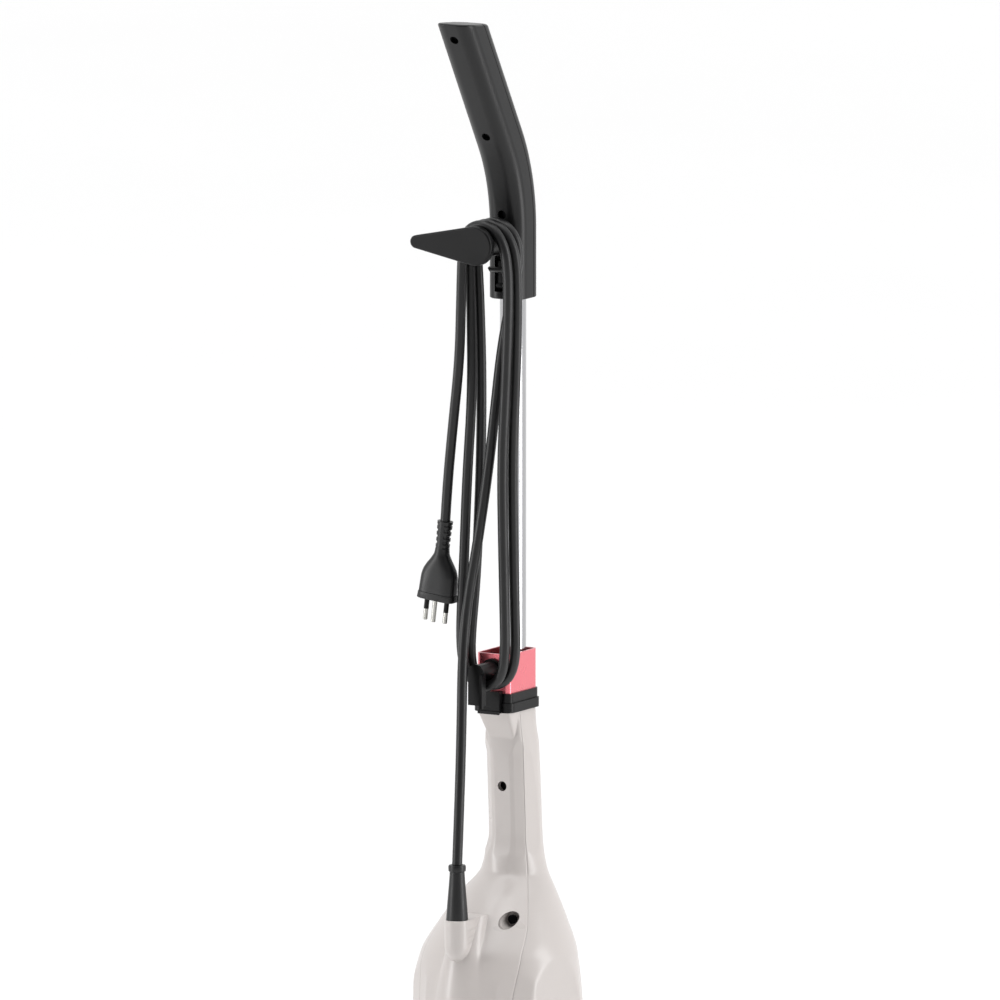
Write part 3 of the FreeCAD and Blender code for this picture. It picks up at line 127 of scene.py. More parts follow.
def surface(name, pale, dark, mottle_mm, rough, grain_mm, grain_height_mm, stretch=(1, 1, 1), **sockets):
    """A finish whose colour drifts between two shades over mottle_mm, whose gloss drifts with it, and
    whose skin has grains of grain_mm. stretch draws the grain out along an axis by dividing its scale.
    Moulded and ground skins have a grain of about 0.1 mm, drawn here near 1 mm so that it shows."""
    material = bpy.data.materials.new(name)
    material.use_nodes = True
    tree = material.node_tree
    tree.nodes.clear()
    place = add(tree, "ShaderNodeTexCoord").outputs["Object"]
    drawn = add(tree, "ShaderNodeMapping", sockets={"Scale": [1 / s for s in stretch]},
                links={"Vector": place}).outputs["Vector"]
    mottle = add(tree, "ShaderNodeTexNoise", sockets={"Scale": 1 / (mottle_mm * MM), "Detail": 3.0},
                 links={"Vector": drawn}).outputs["Fac"]
    colour = add(tree, "ShaderNodeMix", {"data_type": "RGBA"}, {"A": linear(pale), "B": linear(dark)},
                 {"Factor": mottle}).outputs["Result"]
    gloss = add(tree, "ShaderNodeMapRange", None,
                {"From Min": 0.3, "From Max": 0.7, "To Min": rough[0], "To Max": rough[1]},
                {"Value": mottle}).outputs["Result"]
    grain = add(tree, "ShaderNodeTexNoise", sockets={"Scale": 1 / (grain_mm * MM), "Detail": 2.0},
                links={"Vector": drawn}).outputs["Fac"]
    bump = add(tree, "ShaderNodeBump", sockets={"Strength": 1.0, "Distance": grain_height_mm * MM},
               links={"Height": grain}).outputs["Normal"]
    shader = add(tree, "ShaderNodeBsdfPrincipled", sockets=sockets,
                 links={"Base Color": colour, "Roughness": gloss, "Normal": bump}).outputs["BSDF"]
    add(tree, "ShaderNodeOutputMaterial", links={"Surface": shader})
    return material

floor_mesh = bpy.data.meshes.new("floor")
floor_mesh.from_pydata([(-FLOOR_REACH, -FLOOR_REACH, 0), (FLOOR_REACH, -FLOOR_REACH, 0),
                        (FLOOR_REACH, FLOOR_REACH, 0), (-FLOOR_REACH, FLOOR_REACH, 0)], [], [(0, 1, 2, 3)])
floor = bpy.data.objects.new("floor", floor_mesh)
bpy.context.scene.collection.objects.link(floor)
floor_paint = surface("matt_white_floor_paint", "#F4F4F4", "#F1F1F1", 900, (0.85, 0.95), 40, 0.001)
floor.data.materials.append(floor_paint)
floor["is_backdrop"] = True

# Floor head: a base and a cover moulded apart and screwed together from below, with a rubber bumper
# in the joint, a cast steam plate under the base, and two tapes of woven hooks glued on for the pad.
def wear(material, *nodes):
    """Gives CAD pieces a finish in place of their plain one."""
    for node in nodes:
        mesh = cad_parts[node].data
        mesh.materials.clear()
        mesh.materials.append(material)
        mesh.polygons.foreach_set("material_index", np.zeros(len(mesh.polygons), np.int32))

# Glass-filled nylon, moulded: dull near-black, with a coarse skin where the fibres lie.
black_nylon = surface("black_glass_filled_nylon", "#202022", "#18181A", 20, (0.42, 0.55), 1.4, 0.03)
wear(black_nylon, "head_base")
# Gloss ABS, moulded: light warm grey, with a very slight wave in its shine from the mould.
grey_gloss_abs = surface("light_grey_gloss_abs", "#BAB4B1", "#B4AEAB", 90, (0.26, 0.33), 9.0, 0.012,
                         **{"Coat Weight": 0.12, "Coat Roughness": 0.15})
wear(grey_gloss_abs, "head_cover")
# Thermoplastic rubber, moulded: matt, so it shows no highlight along the edge.
soft_rubber = surface("black_tpe_rubber", "#262627", "#1D1D1E", 18, (0.6, 0.75), 1.3, 0.03)
wear(soft_rubber, "head_bumper")
# Aluminium, die-cast: pale and slightly pitted, with a broad dull shine.
cast_aluminium = surface("die_cast_aluminium", "#B4B5B7", "#9C9DA0", 12, (0.38, 0.52), 1.4, 0.03, Metallic=1.0)
wear(cast_aluminium, "steam_plate")
# Nylon hook tape, woven: black, without shine, rough to about a millimetre.
hook_tape = surface("woven_hook_tape", "#2B2B2D", "#151517", 2, (0.8, 0.95), 1.2, 0.25)
wear(hook_tape, "hook_and_loop_strips")
# Steel, zinc plated: grey, with a soft metal shine.
zinc_steel = surface("zinc_plated_screw_steel", "#8F9092", "#77787A", 4, (0.28, 0.42), 0.9, 0.01, Metallic=1.0)
wear(zinc_steel, "head_screws")

# Pad: a slip-on microfibre cloth, 300 x 200 mm, of looped pile on a foam core. Its sides bulge between
# the floor and the hook tapes that hold it, and its pile stands in short rows round the edge.
PAD_LENGTH, PAD_DEPTH, PAD_THICK, PAD_CORNER = 299.0, 199.0, 7.3, 35.0
# How squarely the outline turns before its corners are rounded, how far in the edge rolls as a share
# of the way out, and the number of pile rows round it.
PAD_SQUARENESS, PAD_ROLL, PILE_ROWS = 7.0, 0.034, 180

def carried(name, rings):
    """A closed piece from rings of points, rows along it and columns round it, with a point at each end."""
    rows, columns = rings.shape[:2]
    points = np.concatenate([rings.reshape(-1, 3), rings[:1].mean(1), rings[-1:].mean(1)])
    index = np.arange(rows * columns).reshape(rows, columns)
    around = np.roll(index, -1, axis=1)
    walls = np.stack([index[:-1], around[:-1], around[1:], index[1:]], -1).reshape(-1, 4).tolist()
    start = [(rows * columns, b, a) for a, b in zip(index[0].tolist(), around[0].tolist())]
    finish = [(rows * columns + 1, a, b) for a, b in zip(index[-1].tolist(), around[-1].tolist())]
    mesh = bpy.data.meshes.new(name)
    mesh.from_pydata(points * MM, [], walls + start + finish)
    mesh.polygons.foreach_set("use_smooth", np.ones(len(mesh.polygons), bool))
    mesh.set_sharp_from_angle(angle=math.radians(35))
    piece = bpy.data.objects.new(name, mesh)
    bpy.context.scene.collection.objects.link(piece)
    return piece

def pad_rings(columns=720):
    """A rounded rectangle set in by the roll of the edge: the section runs from the middle of the flat
    underside out, round a half ellipse and back over the top. Pile rows lift the skin by a sine of the
    distance round times a sine of the place up the side, and noise from a seeded table roughens them."""
    turn = np.linspace(0, 2 * np.pi, columns, endpoint=False)
    half_x, half_y = PAD_LENGTH / 2, PAD_DEPTH / 2
    reach = (np.abs(np.cos(turn) / half_x) ** PAD_SQUARENESS
             + np.abs(np.sin(turn) / half_y) ** PAD_SQUARENESS) ** (-1 / PAD_SQUARENESS)
    corner_x, corner_y = half_x - PAD_CORNER, half_y - PAD_CORNER
    x, y = reach * np.cos(turn), reach * np.sin(turn)
    beyond_x, beyond_y = np.maximum(np.abs(x) - corner_x, 0), np.maximum(np.abs(y) - corner_y, 0)
    outside = np.hypot(beyond_x, beyond_y)
    pull = np.where((beyond_x > 0) & (beyond_y > 0), np.minimum(1, PAD_CORNER / np.maximum(outside, 1e-6)), 1)
    x = np.sign(x) * (np.minimum(np.abs(x), corner_x) + beyond_x * pull)
    y = np.sign(y) * (np.minimum(np.abs(y), corner_y) + beyond_y * pull)
    seeded = np.random.default_rng(7)
    rings = []
    for share, height, pile in ([(s, 0.0, 0.0) for s in (0.05, 0.3, 0.6, 0.85)]
                                + [(1 - PAD_ROLL * (1 - math.sin(a)), PAD_THICK / 2 * (1 - math.cos(a)),
                                    math.sin(a)) for a in np.linspace(0.05, math.pi - 0.05, 15)]
                                + [(s, PAD_THICK, 0.0) for s in (0.93, 0.6, 0.3, 0.05)]):
        rows = 0.35 * np.sin(turn * PILE_ROWS) * math.cos(6 * height)
        loops = pile * (rows + seeded.uniform(-0.22, 0.1, columns))
        scale = share - (0.6 - loops) / 110 * (share > 0.86)
        rings.append(np.stack([x * scale, y * scale, np.full(columns, height)], -1))
    return np.array(rings)

pad = carried("microfibre_pad_pile", pad_rings())
pad.data.set_sharp_from_angle(angle=math.radians(80))

def looped_pile():
    """Twisted microfibre loops 2 mm across: a cell pattern gives each loop a raised middle, and the colour
    darkens from that middle to the gaps between loops as painted shading; coarser noise makes the painted
    shading stronger in some patches, and sheen gives the cloth its soft pale edge."""
    material = bpy.data.materials.new("looped_microfibre_pile")
    material.use_nodes = True
    tree = material.node_tree
    tree.nodes.clear()
    place = add(tree, "ShaderNodeTexCoord").outputs["Object"]
    cells = add(tree, "ShaderNodeTexVoronoi", sockets={"Scale": 1 / (2.0 * MM)}, links={"Vector": place})
    patches = add(tree, "ShaderNodeTexNoise", sockets={"Scale": 1 / (22 * MM), "Detail": 2.0},
                  links={"Vector": place}).outputs["Fac"]
    # Painted shading: the colour darkens towards the gaps between loops, more in some patches than others.
    painted_gap_shading = add(tree, "ShaderNodeMath", {"operation": "MULTIPLY"}, None,
                {0: cells.outputs["Distance"], 1: patches}).outputs["Value"]
    colour = add(tree, "ShaderNodeMix", {"data_type": "RGBA"}, {"A": linear("#E4E5E7"), "B": linear("#A9ACB0")},
                 {"Factor": painted_gap_shading}).outputs["Result"]
    bump = add(tree, "ShaderNodeBump", {"invert": True}, {"Strength": 1.0, "Distance": 0.7 * MM},
               {"Height": cells.outputs["Distance"]}).outputs["Normal"]
    shader = add(tree, "ShaderNodeBsdfPrincipled", None, {"Roughness": 0.92, "Sheen Weight": 0.5},
                 {"Base Color": colour, "Normal": bump}).outputs["BSDF"]
    add(tree, "ShaderNodeOutputMaterial", links={"Surface": shader})
    return material

pad.data.materials.append(looped_pile())
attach(pad, "floor_head")
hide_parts("microfibre_pad")

# Foot joint: a forked yoke of black nylon that tilts on one steel pin and swivels on another, and the
# sleeve that closes the body's foot.
wear(black_nylon, "swivel_yoke", "neck_sleeve")
wear(zinc_steel, "swivel_pin", "tilt_pin")

# Steam works: a cast boiler with its element and thermostat strapped on, a pump on a bracket, hoses,
# the mains terminals and the cord's clamp, all screwed inside the body.
wear(cast_aluminium, "boiler")
wear(zinc_steel, "heating_element", "thermostat")
# Silicone rubber, extruded or moulded: milky and dull, with light passing a little way in.
silicone_rubber = surface("translucent_silicone", "#CFC9C2", "#BDB7AF", 15, (0.45, 0.6), 1.5, 0.01,
                          **{"Subsurface Weight": 0.2})
wear(silicone_rubber, "water_hose", "steam_hose", "terminal_block", "thermal_fuse")
# ABS, moulded black: smoother than the grip's, so it is darker with a sharper highlight.
black_abs = surface("black_moulded_abs", "#070708", "#050506", 30, (0.3, 0.4), 1.0, 0.008,
                    **{"Specular IOR Level": 0.22})
wear(black_abs, "water_pump", "pump_bracket", "cord_clamp")

# Water tank: blow-moulded SAN that lifts out of a nylon bay, with a rubber seal under its black cap,
# a valve at its foot and a key that lets it go.
# Styrene acrylonitrile, tinted: see-through smoky grey, very smooth.
smoked_san = surface("smoked_clear_san", "#8A9098", "#7C828A", 50, (0.03, 0.07), 6.0, 0.01, IOR=1.57,
                     **{"Transmission Weight": 0.85})
wear(smoked_san, "water_tank")
wear(black_nylon, "tank_bay")
wear(soft_rubber, "tank_cap_seal")
wear(black_abs, "tank_cap", "tank_valve", "tank_release_button")

# Controls: a nylon knob on a brass steam regulator, and a sprung red power button over its switch,
# with a lamp between them.
wear(black_nylon, "steam_knob")
# Brass, turned: yellow metal with a fine broken shine.
turned_brass = surface("turned_brass", "#B89055", "#A37C42", 6, (0.22, 0.34), 0.8, 0.01, Metallic=1.0)
wear(turned_brass, "steam_regulator")
# Lacquer over bright metal: a clear coat over fine flake, so it glows pink-red and keeps sharp glints.
red_lacquer = surface("metallic_red_lacquer", "#EC7A84", "#E26C77", 40, (0.24, 0.3), 0.9, 0.003, Metallic=0.75,
                      **{"Coat Weight": 0.6, "Coat Roughness": 0.08})
wear(red_lacquer, "power_button")
wear(zinc_steel, "button_spring")
wear(black_abs, "power_switch")
# Acrylic, moulded: clear deep red, polished.
lens_acrylic = surface("red_lens_acrylic", "#C8281E", "#A81C14", 5, (0.05, 0.1), 2.0, 0.005, IOR=1.49,
                       **{"Transmission Weight": 0.5})
wear(lens_acrylic, "indicator_lens")

# Body shells: a bottle-shaped hollow moulded in two, a front shell and a narrow rear panel with the
# cord's socket on it. Light warm grey gloss ABS, screwed together from behind, with a fine gap between.
SHELL_WALL, SOCKET_Y, SOCKET_TOP, SOCKET_RADIUS = 2.6, 93.0, 488.0, 10.5
# Height, centre in Y, half width in X, half depth in Y, squareness.
SHELL_SECTIONS = np.array([
    (145, 0, 26, 26, 2), (175, 4.5, 35.5, 34.5, 2), (208, 10, 47.5, 45.5, 2), (245, 16, 59, 56, 2),
    (290, 22, 69, 65, 2), (340, 27, 75, 70, 2), (408, 29, 74, 69, 2), (452, 23, 65.5, 65, 2),
    (478, 15, 53, 53, 2), (500, 7, 40, 40, 2), (519, -2.2, 27.5, 27.5, 2.0), (548, -3.9, 22, 22, 2.3),
    (588, -2.2, 21, 20.3, 2.6), (624, 0, 19.6, 18.4, 3.4), (641, 2.1, 17.5, 16.2, 5),
    (655, 2.45, 16, 15.95, 7)])
# The raised tongue under the socket, in the same terms.
TONGUE_SECTIONS = np.array([
    (310, 44, 42, 40), (340, 52, 42, 42), (375, 62, 38, 38), (408, 72, 31, 28.5), (430, 78, 25, 21.5),
    (455, 80, 17.5, 15), (470, 73, 14, 14), (488, 61, 10, 12)])
# Neck facets: the way each faces, in degrees from +Y, and its distance from the neck's centre.
NECK_FACETS = ((0, 20.3), (17.9, 21.65), (40.3, 21.76), (76.4, 20.4))
# Where the panel ends each side of +Y, in degrees, by height.
PANEL_EDGE = np.array([(145, 40), (300, 40), (408, 41), (455, 46), (480, 52), (510, 54), (545, 52), (655, 51)])

def smooth_through(heights, knots, column):
    """Monotone cubic curve through one column of the knots: each knot's slope is the harmonic mean of
    the slopes either side of it, or zero at a turn, and cubic Hermite blends run between knots."""
    x, y = knots[:, 0], knots[:, column]
    step, rise = np.diff(x), np.diff(y) / np.diff(x)
    inner = np.where(rise[1:] * rise[:-1] > 0, 2 * rise[1:] * rise[:-1] / (rise[1:] + rise[:-1] + 1e-12), 0)
    slope = np.concatenate([rise[:1], inner, rise[-1:]])
    k = np.clip(np.searchsorted(x, heights) - 1, 0, len(x) - 2)
    t = np.clip((heights - x[k]) / step[k], 0, 1)
    return ((1 + 2 * t) * (1 - t) ** 2 * y[k] + t * (1 - t) ** 2 * step[k] * slope[k]
            + t * t * (3 - 2 * t) * y[k + 1] - t * t * (1 - t) * step[k] * slope[k + 1])

def larger(a, b, soft):
    """The larger of two lengths with the corner between them rounded over about soft millimetres."""
    return 0.5 * (a + b + np.sqrt((a - b) ** 2 + soft ** 2))

def reach_oval(turn, half_x, half_y, power):
    """Distance from a superellipse's centre to its outline, in the direction turn from +Y."""
    return (np.abs(np.sin(turn) / half_x) ** power + np.abs(np.cos(turn) / half_y) ** power) ** (-1 / power)

def reach_ellipse(turn, ahead, half_x, half_y):
    """Distance to the far side of an ellipse whose centre lies ahead along +Y, or nought if missed."""
    s, c = np.sin(turn), np.cos(turn)
    a, b = (s / half_x) ** 2 + (c / half_y) ** 2, -2 * c * ahead / half_y ** 2
    inside = b * b - 4 * a * ((ahead / half_y) ** 2 - 1)
    return np.where(inside > 0, (-b + np.sqrt(np.abs(inside))) / (2 * a), 0.0)

def body_reach(turn, z, socket):
    """Distance from the body's centre line to its skin: the oval cut by the neck's facets, then the
    largest of that, the flare under the ring, the tongue and the round-ended socket."""
    half_x, half_y, power = (smooth_through(z, SHELL_SECTIONS, i) for i in (2, 3, 4))
    centre = smooth_through(z, SHELL_SECTIONS, 1)
    neck = np.where(np.cos(turn) > 0, np.clip((z - 515) / 45, 0, 1) ** 2, 0) * np.cos(turn) ** 2
    reach = reach_oval(turn, half_x, half_y + 1.5 * neck, power + 4 * neck)
    fade = 45 * np.clip((550 - z) / 60, 0, 1) ** 2 + 0.14 * np.clip(z - 618, 0, 40)
    around = np.abs((turn + np.pi) % (2 * np.pi) - np.pi)
    for way, distance in NECK_FACETS:
        facing = np.cos(around - math.radians(way))
        plane = (distance + fade) / np.maximum(facing, 0.02)
        reach = -larger(-reach, -plane, 0.14)
    drop = np.clip(655 - z, 0, 33)
    flare = reach_oval(turn, 16.1 - drop * 3.9 / 28, np.maximum(34 - drop * 17 / 28 - centre, 0.5), 14)
    reach = np.where((z > 622) & (np.cos(turn) > 0), larger(reach, flare, 0.3), reach)
    tongue_y, tongue_x, tongue_half = (smooth_through(z, TONGUE_SECTIONS, i) for i in (1, 2, 3))
    tongue = np.where(z >= 310, reach_ellipse(turn, tongue_y - centre, tongue_x, tongue_half), 0)
    end = np.clip((466 - z) / 13, 0, 0.999)
    radius = SOCKET_RADIUS * np.sqrt(1 - end ** 2)
    cup = np.where(z > 453, reach_ellipse(turn, SOCKET_Y - centre, radius, radius), 0)
    return np.where(socket, larger(larger(reach, tongue, 1.4), cup, 0.25), reach)

def closed_shell(name, outer, inner):
    """Joins an outer and an inner grid of points into one closed wall. Rows run up, columns run round."""
    rows, columns = outer.shape[:2]
    points = np.concatenate([outer, inner[:, ::-1]], axis=1)
    count = 2 * columns
    index = np.arange(rows * count).reshape(rows, count)
    around = np.roll(index, -1, axis=1)
    walls = np.stack([index[:-1], around[:-1], around[1:], index[1:]], -1).reshape(-1, 4)
    left = np.arange(columns - 1)
    low, high = index[0], index[-1]
    foot = np.stack([low[left], low[count - 1 - left], low[count - 2 - left], low[left + 1]], -1)
    top = np.stack([high[left], high[left + 1], high[count - 2 - left], high[count - 1 - left]], -1)
    mesh = bpy.data.meshes.new(name)
    mesh.from_pydata(points.reshape(-1, 3) * MM, [], np.concatenate([walls, foot, top]).tolist())
    mesh.polygons.foreach_set("use_smooth", np.ones(len(mesh.polygons), bool))
    piece = bpy.data.objects.new(name, mesh)
    bpy.context.scene.collection.objects.link(piece)
    return piece

def shell_patch(name, start, end, columns, crowd):
    """The part of the skin between two panel edges. Columns crowd towards the middle by crowd, and the
    last ones round over the edge and turn in through the wall."""
    z = np.concatenate([np.arange(145, 452, 3.0), np.arange(452, 487, 1.0), [487.0, 487.5, 488.0, 488.05],
                        np.arange(489, 622, 2.0), np.arange(622, 655.1, 1.0)])
    socket = z <= SOCKET_TOP
    lift = np.where(z == SOCKET_TOP, -0.5, 0.0)
    edge = np.radians(smooth_through(z, PANEL_EDGE, 1))
    s = np.linspace(-1, 1, columns)
    s = (1 - crowd) * s ** 3 + crowd * s
    first, last = (np.where(start, edge, -edge), np.where(end, 2 * np.pi - edge, edge))
    middle, half = (first + last)[:, None] / 2, (last - first)[:, None] / 2
    near = body_reach(middle + half, z[:, None], socket[:, None])
    gap, round_over = 0.1 / near, 0.5 / near
    turn = middle + (half - gap - round_over) * s
    turn = np.concatenate([middle - half + gap, middle - half + gap, turn, middle + half - gap,
                           middle + half - gap], axis=1)
    height = np.broadcast_to(z[:, None], turn.shape)
    reach = body_reach(turn, height, socket[:, None]) + lift[:, None] * (np.abs(turn) < 0.14)
    drop = np.zeros(turn.shape)
    drop[:, [1, -2]], drop[:, [0, -1]] = 0.25, SHELL_WALL * 0.8
    centre = smooth_through(height, SHELL_SECTIONS, 1)
    outer = reach - drop
    inner = body_reach(turn, height, np.zeros(turn.shape, bool)) - SHELL_WALL
    place = [np.stack([-r * np.sin(turn), centre + r * np.cos(turn), height], -1) for r in (outer, inner)]
    return closed_shell(name, *place)

def drilled(piece, cutters):
    """Cuts each (kind, size, place, lean) tool from a closed piece: a rod along Y, leaned down about X, or
    a block."""
    for kind, size, place, *lean in cutters:
        if kind == "rod":
            turn = np.linspace(0, 2 * np.pi, 48, endpoint=False)
            ring = np.stack([size[0] * np.cos(turn), np.zeros(48), size[0] * np.sin(turn)], -1)
            corners = np.concatenate([ring, ring + (0, size[1], 0)])
            c, s = (math.cos(lean[0]), math.sin(lean[0])) if lean else (1, 0)
            corners = corners @ np.array([[1, 0, 0], [0, c, -s], [0, s, c]]) + place
            around = np.roll(np.arange(48), -1)
            faces = [list(range(48)), list(range(95, 47, -1))]
            faces += np.stack([np.arange(48), np.arange(48) + 48, around + 48, around], -1).tolist()
        else:
            corners = np.array([(x, y, z) for x in (0, 1) for y in (0, 1) for z in (0, 1)]) * size + place
            faces = [(0, 1, 3, 2), (4, 6, 7, 5), (0, 4, 5, 1), (2, 3, 7, 6), (0, 2, 6, 4), (1, 5, 7, 3)]
        mesh = bpy.data.meshes.new("cutter")
        mesh.from_pydata(corners * MM, [], faces)
        tool = bpy.data.objects.new("cutter", mesh)
        bpy.context.scene.collection.objects.link(tool)
        bite = piece.modifiers.new("bite", "BOOLEAN")
        bite.object, bite.solver, bite.operation = tool, "EXACT", "DIFFERENCE"
        graph = bpy.context.evaluated_depsgraph_get()
        cut = bpy.data.meshes.new_from_object(piece.evaluated_get(graph))
        piece.modifiers.remove(bite)
        piece.data = cut
        bpy.data.objects.remove(tool)

rear_skin = shell_patch("rear_panel_skin", False, False, 161, 0.3)
front_skin = shell_patch("front_shell_skin", True, True, 121, 1.0)
# Each screw well: X, height, the depth in Y of its floor, and its radius.
SCREW_WELLS = ((0, 590, 11.0, 4.2), (27, 484, 42, 6.8), (-27, 484, 42, 6.8),
               (22, 232, 48, 5), (-22, 232, 48, 5))
drilled(rear_skin, [("rod", (r, 60), (x, y, z)) for x, z, y, r in SCREW_WELLS])

def skin_depth(x, z):
    """Y of the rear skin at X and a height, found by turning towards the point and stepping again."""
    centre = smooth_through(z, SHELL_SECTIONS, 1)
    ahead = np.full(x.shape, 40.0)
    for _ in range(12):
        reach = body_reach(np.arctan2(-x, ahead), z, np.zeros(x.shape, bool))
        ahead = np.sqrt(np.maximum(reach ** 2 - x ** 2, 1))
    return centre + ahead

for number, (x, z, floor_y, radius) in enumerate(SCREW_WELLS):
    turn = -np.linspace(0, 2 * np.pi, 48, endpoint=False)
    across, lift = np.cos(turn), np.sin(turn)
    lip = [skin_depth(x + r * across, z + r * lift) - 0.15 for r in (radius, radius + 1.2)]
    deep = np.full(48, float(floor_y))
    profile = ((2.0, deep - 1.2), (radius + 1.2, deep - 1.2), (radius + 1.2, lip[1]), (radius, lip[0]),
               (radius, deep), (2.0, deep))
    well = carried(f"screw_well_{number}", np.array(
        [np.stack([x + r * across, y, z + r * lift], -1) for r, y in profile]))
    well.data.materials.append(grey_gloss_abs)
    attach(well, "mop_body")
drilled(front_skin, [("block", (200, 192, 192), (-100, -200, 199)), ("rod", (5.0, 80), (0, -90, 457)),
                     ("rod", (8.4, 80), (0, -90, 412)), ("rod", (2.6, 80), (0, -90, 432)),
                     ("block", (24.8, 76, 14.4), (-12.4, -90, 178))])
for skin, node in ((rear_skin, "body_rear_panel"), (front_skin, "body_front_shell")):
    skin.data.set_sharp_from_angle(angle=math.radians(38))
    skin.data.materials.clear()
    skin.data.materials.append(grey_gloss_abs)
    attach(skin, "mop_body")
    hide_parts(node)

# Steel, blackened: nearly black, with a weak metal shine deep in the wells.
black_oxide = surface("black_oxide_screw_steel", "#131314", "#0B0B0C", 4, (0.35, 0.5), 0.9, 0.01, Metallic=1.0)
wear(black_oxide, "body_screws")

# Pole: 22 mm steel tube, drawn, ground and polished, pushed into the body's socket below and locked in
# the grip above.
wear(black_abs, "pole_socket")
# Stainless steel, polished: bright, with faint lines along it as polishing belts leave them.
polished_steel = surface("polished_stainless_steel", "#BDBDBF", "#B1B1B3", 60, (0.14, 0.2), 1.2, 0.003,
                         stretch=(1, 1, 40), Metallic=1.0)
wear(polished_steel, "pole_tube")

# Collar, ring and lower hook: a red lacquered aluminium sleeve on a black liner, pushed on a stepped
# ring, with the lower cord hook and its bracket on the ring's rear.
wear(red_lacquer, "pole_collar")
wear(black_abs, "collar_liner", "neck_ring", "lower_cord_hook", "hook_bracket")

# Grip: two half shells meeting at a fine seam on each side, bent back towards the hand, with deep
# screw wells behind, a window for the latch and a bore for the cord hook. Charcoal moulded ABS.
GRIP_WIDTH, GRIP_DEPTH, GRIP_CORNER, GRIP_FOOT = 34.0, 36.0, 12.0, 1000.0
BEND_START, BEND_RADIUS, BEND_ANGLE, SEAM_AT = 1058.0, 150.0, math.radians(31.2), -5.0
# The top's height at its rear edge, that edge's Y, the top's slope and the round of its rim.
GRIP_TOP, GRIP_TOP_Y, GRIP_TOP_SLOPE, GRIP_RIM = 1239.6, 95.8, math.radians(4.7), 2.6
# Each screw well: how far along from the bend's start, and its radius. All are as deep.
GRIP_WELLS, WELL_DEPTH = ((14.8, 3.8), (96.6, 3.8), (198.0, 3.8)), 5.5

def grip_place(along, across_x, across_y):
    """A point beside the grip's middle line, which rises straight, bends on one arc and runs straight on;
    along is measured from the start of the bend."""
    angle = np.clip(along / BEND_RADIUS, 0, BEND_ANGLE)
    straight = along - angle * BEND_RADIUS
    y = BEND_RADIUS * (1 - np.cos(angle)) + straight * np.sin(angle) + across_y * np.cos(angle)
    z = BEND_START + BEND_RADIUS * np.sin(angle) + straight * np.cos(angle) - across_y * np.sin(angle)
    return np.stack([across_x + 0 * along, y, z], -1)

def grip_outline():
    """Half widths and outward directions round the section: four quarter circles joined by straight
    sides, with a shallow V in each side at the seam."""
    flat_x, flat_y = GRIP_WIDTH / 2 - GRIP_CORNER, GRIP_DEPTH / 2 - GRIP_CORNER
    seam = np.array([-0.5, -0.2, 0.2, 0.5]) + SEAM_AT
    corner = np.radians(np.linspace(0, 90, 15))
    x, y, facing, cut = [], [], [], []
    for sign_x, sign_y, start in ((1, 1, 0), (-1, 1, 90), (-1, -1, 180), (1, -1, 270)):
        turn = corner + math.radians(start)
        x += list(sign_x * flat_x + GRIP_CORNER * np.cos(turn))
        y += list(sign_y * flat_y + GRIP_CORNER * np.sin(turn))
        facing, cut = facing + list(turn), cut + [0.0] * 15
        if start in (90, 270):
            order = seam[::-1] if start == 90 else seam
            x += [-GRIP_WIDTH / 2 if start == 90 else GRIP_WIDTH / 2] * 4
            y += list(order)
            facing += [math.pi if start == 90 else 2 * math.pi] * 4
            cut += [0.0, 0.45, 0.45, 0.0]
    x, y, facing, cut = map(np.array, (x, y, facing, cut))
    return x - cut * np.cos(facing), y - cut * np.sin(facing), np.cos(facing), np.sin(facing)

side_x, side_y, out_x, out_y = grip_outline()
bend_length = BEND_RADIUS * BEND_ANGLE
bend_y, bend_z = grip_place(np.array(bend_length), 0.0, 0.0)[1:]
steep = math.tan(GRIP_TOP_SLOPE)
rings = []
foot = GRIP_FOOT - BEND_START
for along, inset in ([(foot, 5.0), (foot, 0.7), (foot + 0.7, 0)]
                     + [(a, 0) for a in np.linspace(foot + 4, bend_length, 60)]):
    rings.append(grip_place(np.full(side_x.shape, along), side_x - inset * out_x, side_y - inset * out_y))
for share, inset, back in ([(s, 0, 0) for s in np.linspace(0.03, 0.96, 30)]
                           + [(1, GRIP_RIM * (1 - math.cos(a)), GRIP_RIM * (1 - math.sin(a)))
                              for a in np.linspace(0, math.pi / 2, 7)] + [(1, 8.0, 0)]):
    x, y = side_x - inset * out_x, side_y - inset * out_y
    beyond = bend_y + y * math.cos(BEND_ANGLE) - GRIP_TOP_Y
    rise = GRIP_TOP - bend_z + y * math.sin(BEND_ANGLE) + steep * beyond
    last = rise / (math.cos(BEND_ANGLE) - steep * math.sin(BEND_ANGLE)) - back
    rings.append(grip_place(bend_length + share * last, x, y))
grip = carried("grip_shells", np.array(rings))
cuts = []
for station, radius in GRIP_WELLS:
    low = grip_place(np.array(station), 0.0, GRIP_DEPTH / 2 - WELL_DEPTH)
    cuts.append(("rod", (radius, 12), low, min(station / BEND_RADIUS, BEND_ANGLE)))
cuts += [("rod", (5.1, 20), (0, 8, 1050)), ("rod", (8.0, 7.4), (0, 7.6, 1050)),
         ("block", (15, 20, 30), (-7.5, 11.9, 1006))]
drilled(grip, cuts)
grip.data.set_sharp_from_angle(angle=math.radians(35))
grip.data.materials.clear()
# ABS, moulded charcoal: a spark-eroded skin, which breaks the light into a satin band on each edge.
charcoal_abs = surface("charcoal_moulded_abs", "#0E0E0F", "#0B0B0C", 45, (0.3, 0.38), 1.1, 0.012,
                       **{"Specular IOR Level": 0.32})
grip.data.materials.append(charcoal_abs)
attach(grip, "mop_body")
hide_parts("handle_rear_shell", "handle_front_shell")

wear(black_oxide, "handle_screws")
wear(black_abs, "pole_bush")

# Upper cord hook and latch: a black ABS blade that turns on a screw and washer, and a sprung tab on a
# steel pin low on the grip.
wear(black_abs, "cord_hook_blade", "latch_lever")
wear(zinc_steel, "hook_washer", "hook_screw", "latch_pin")

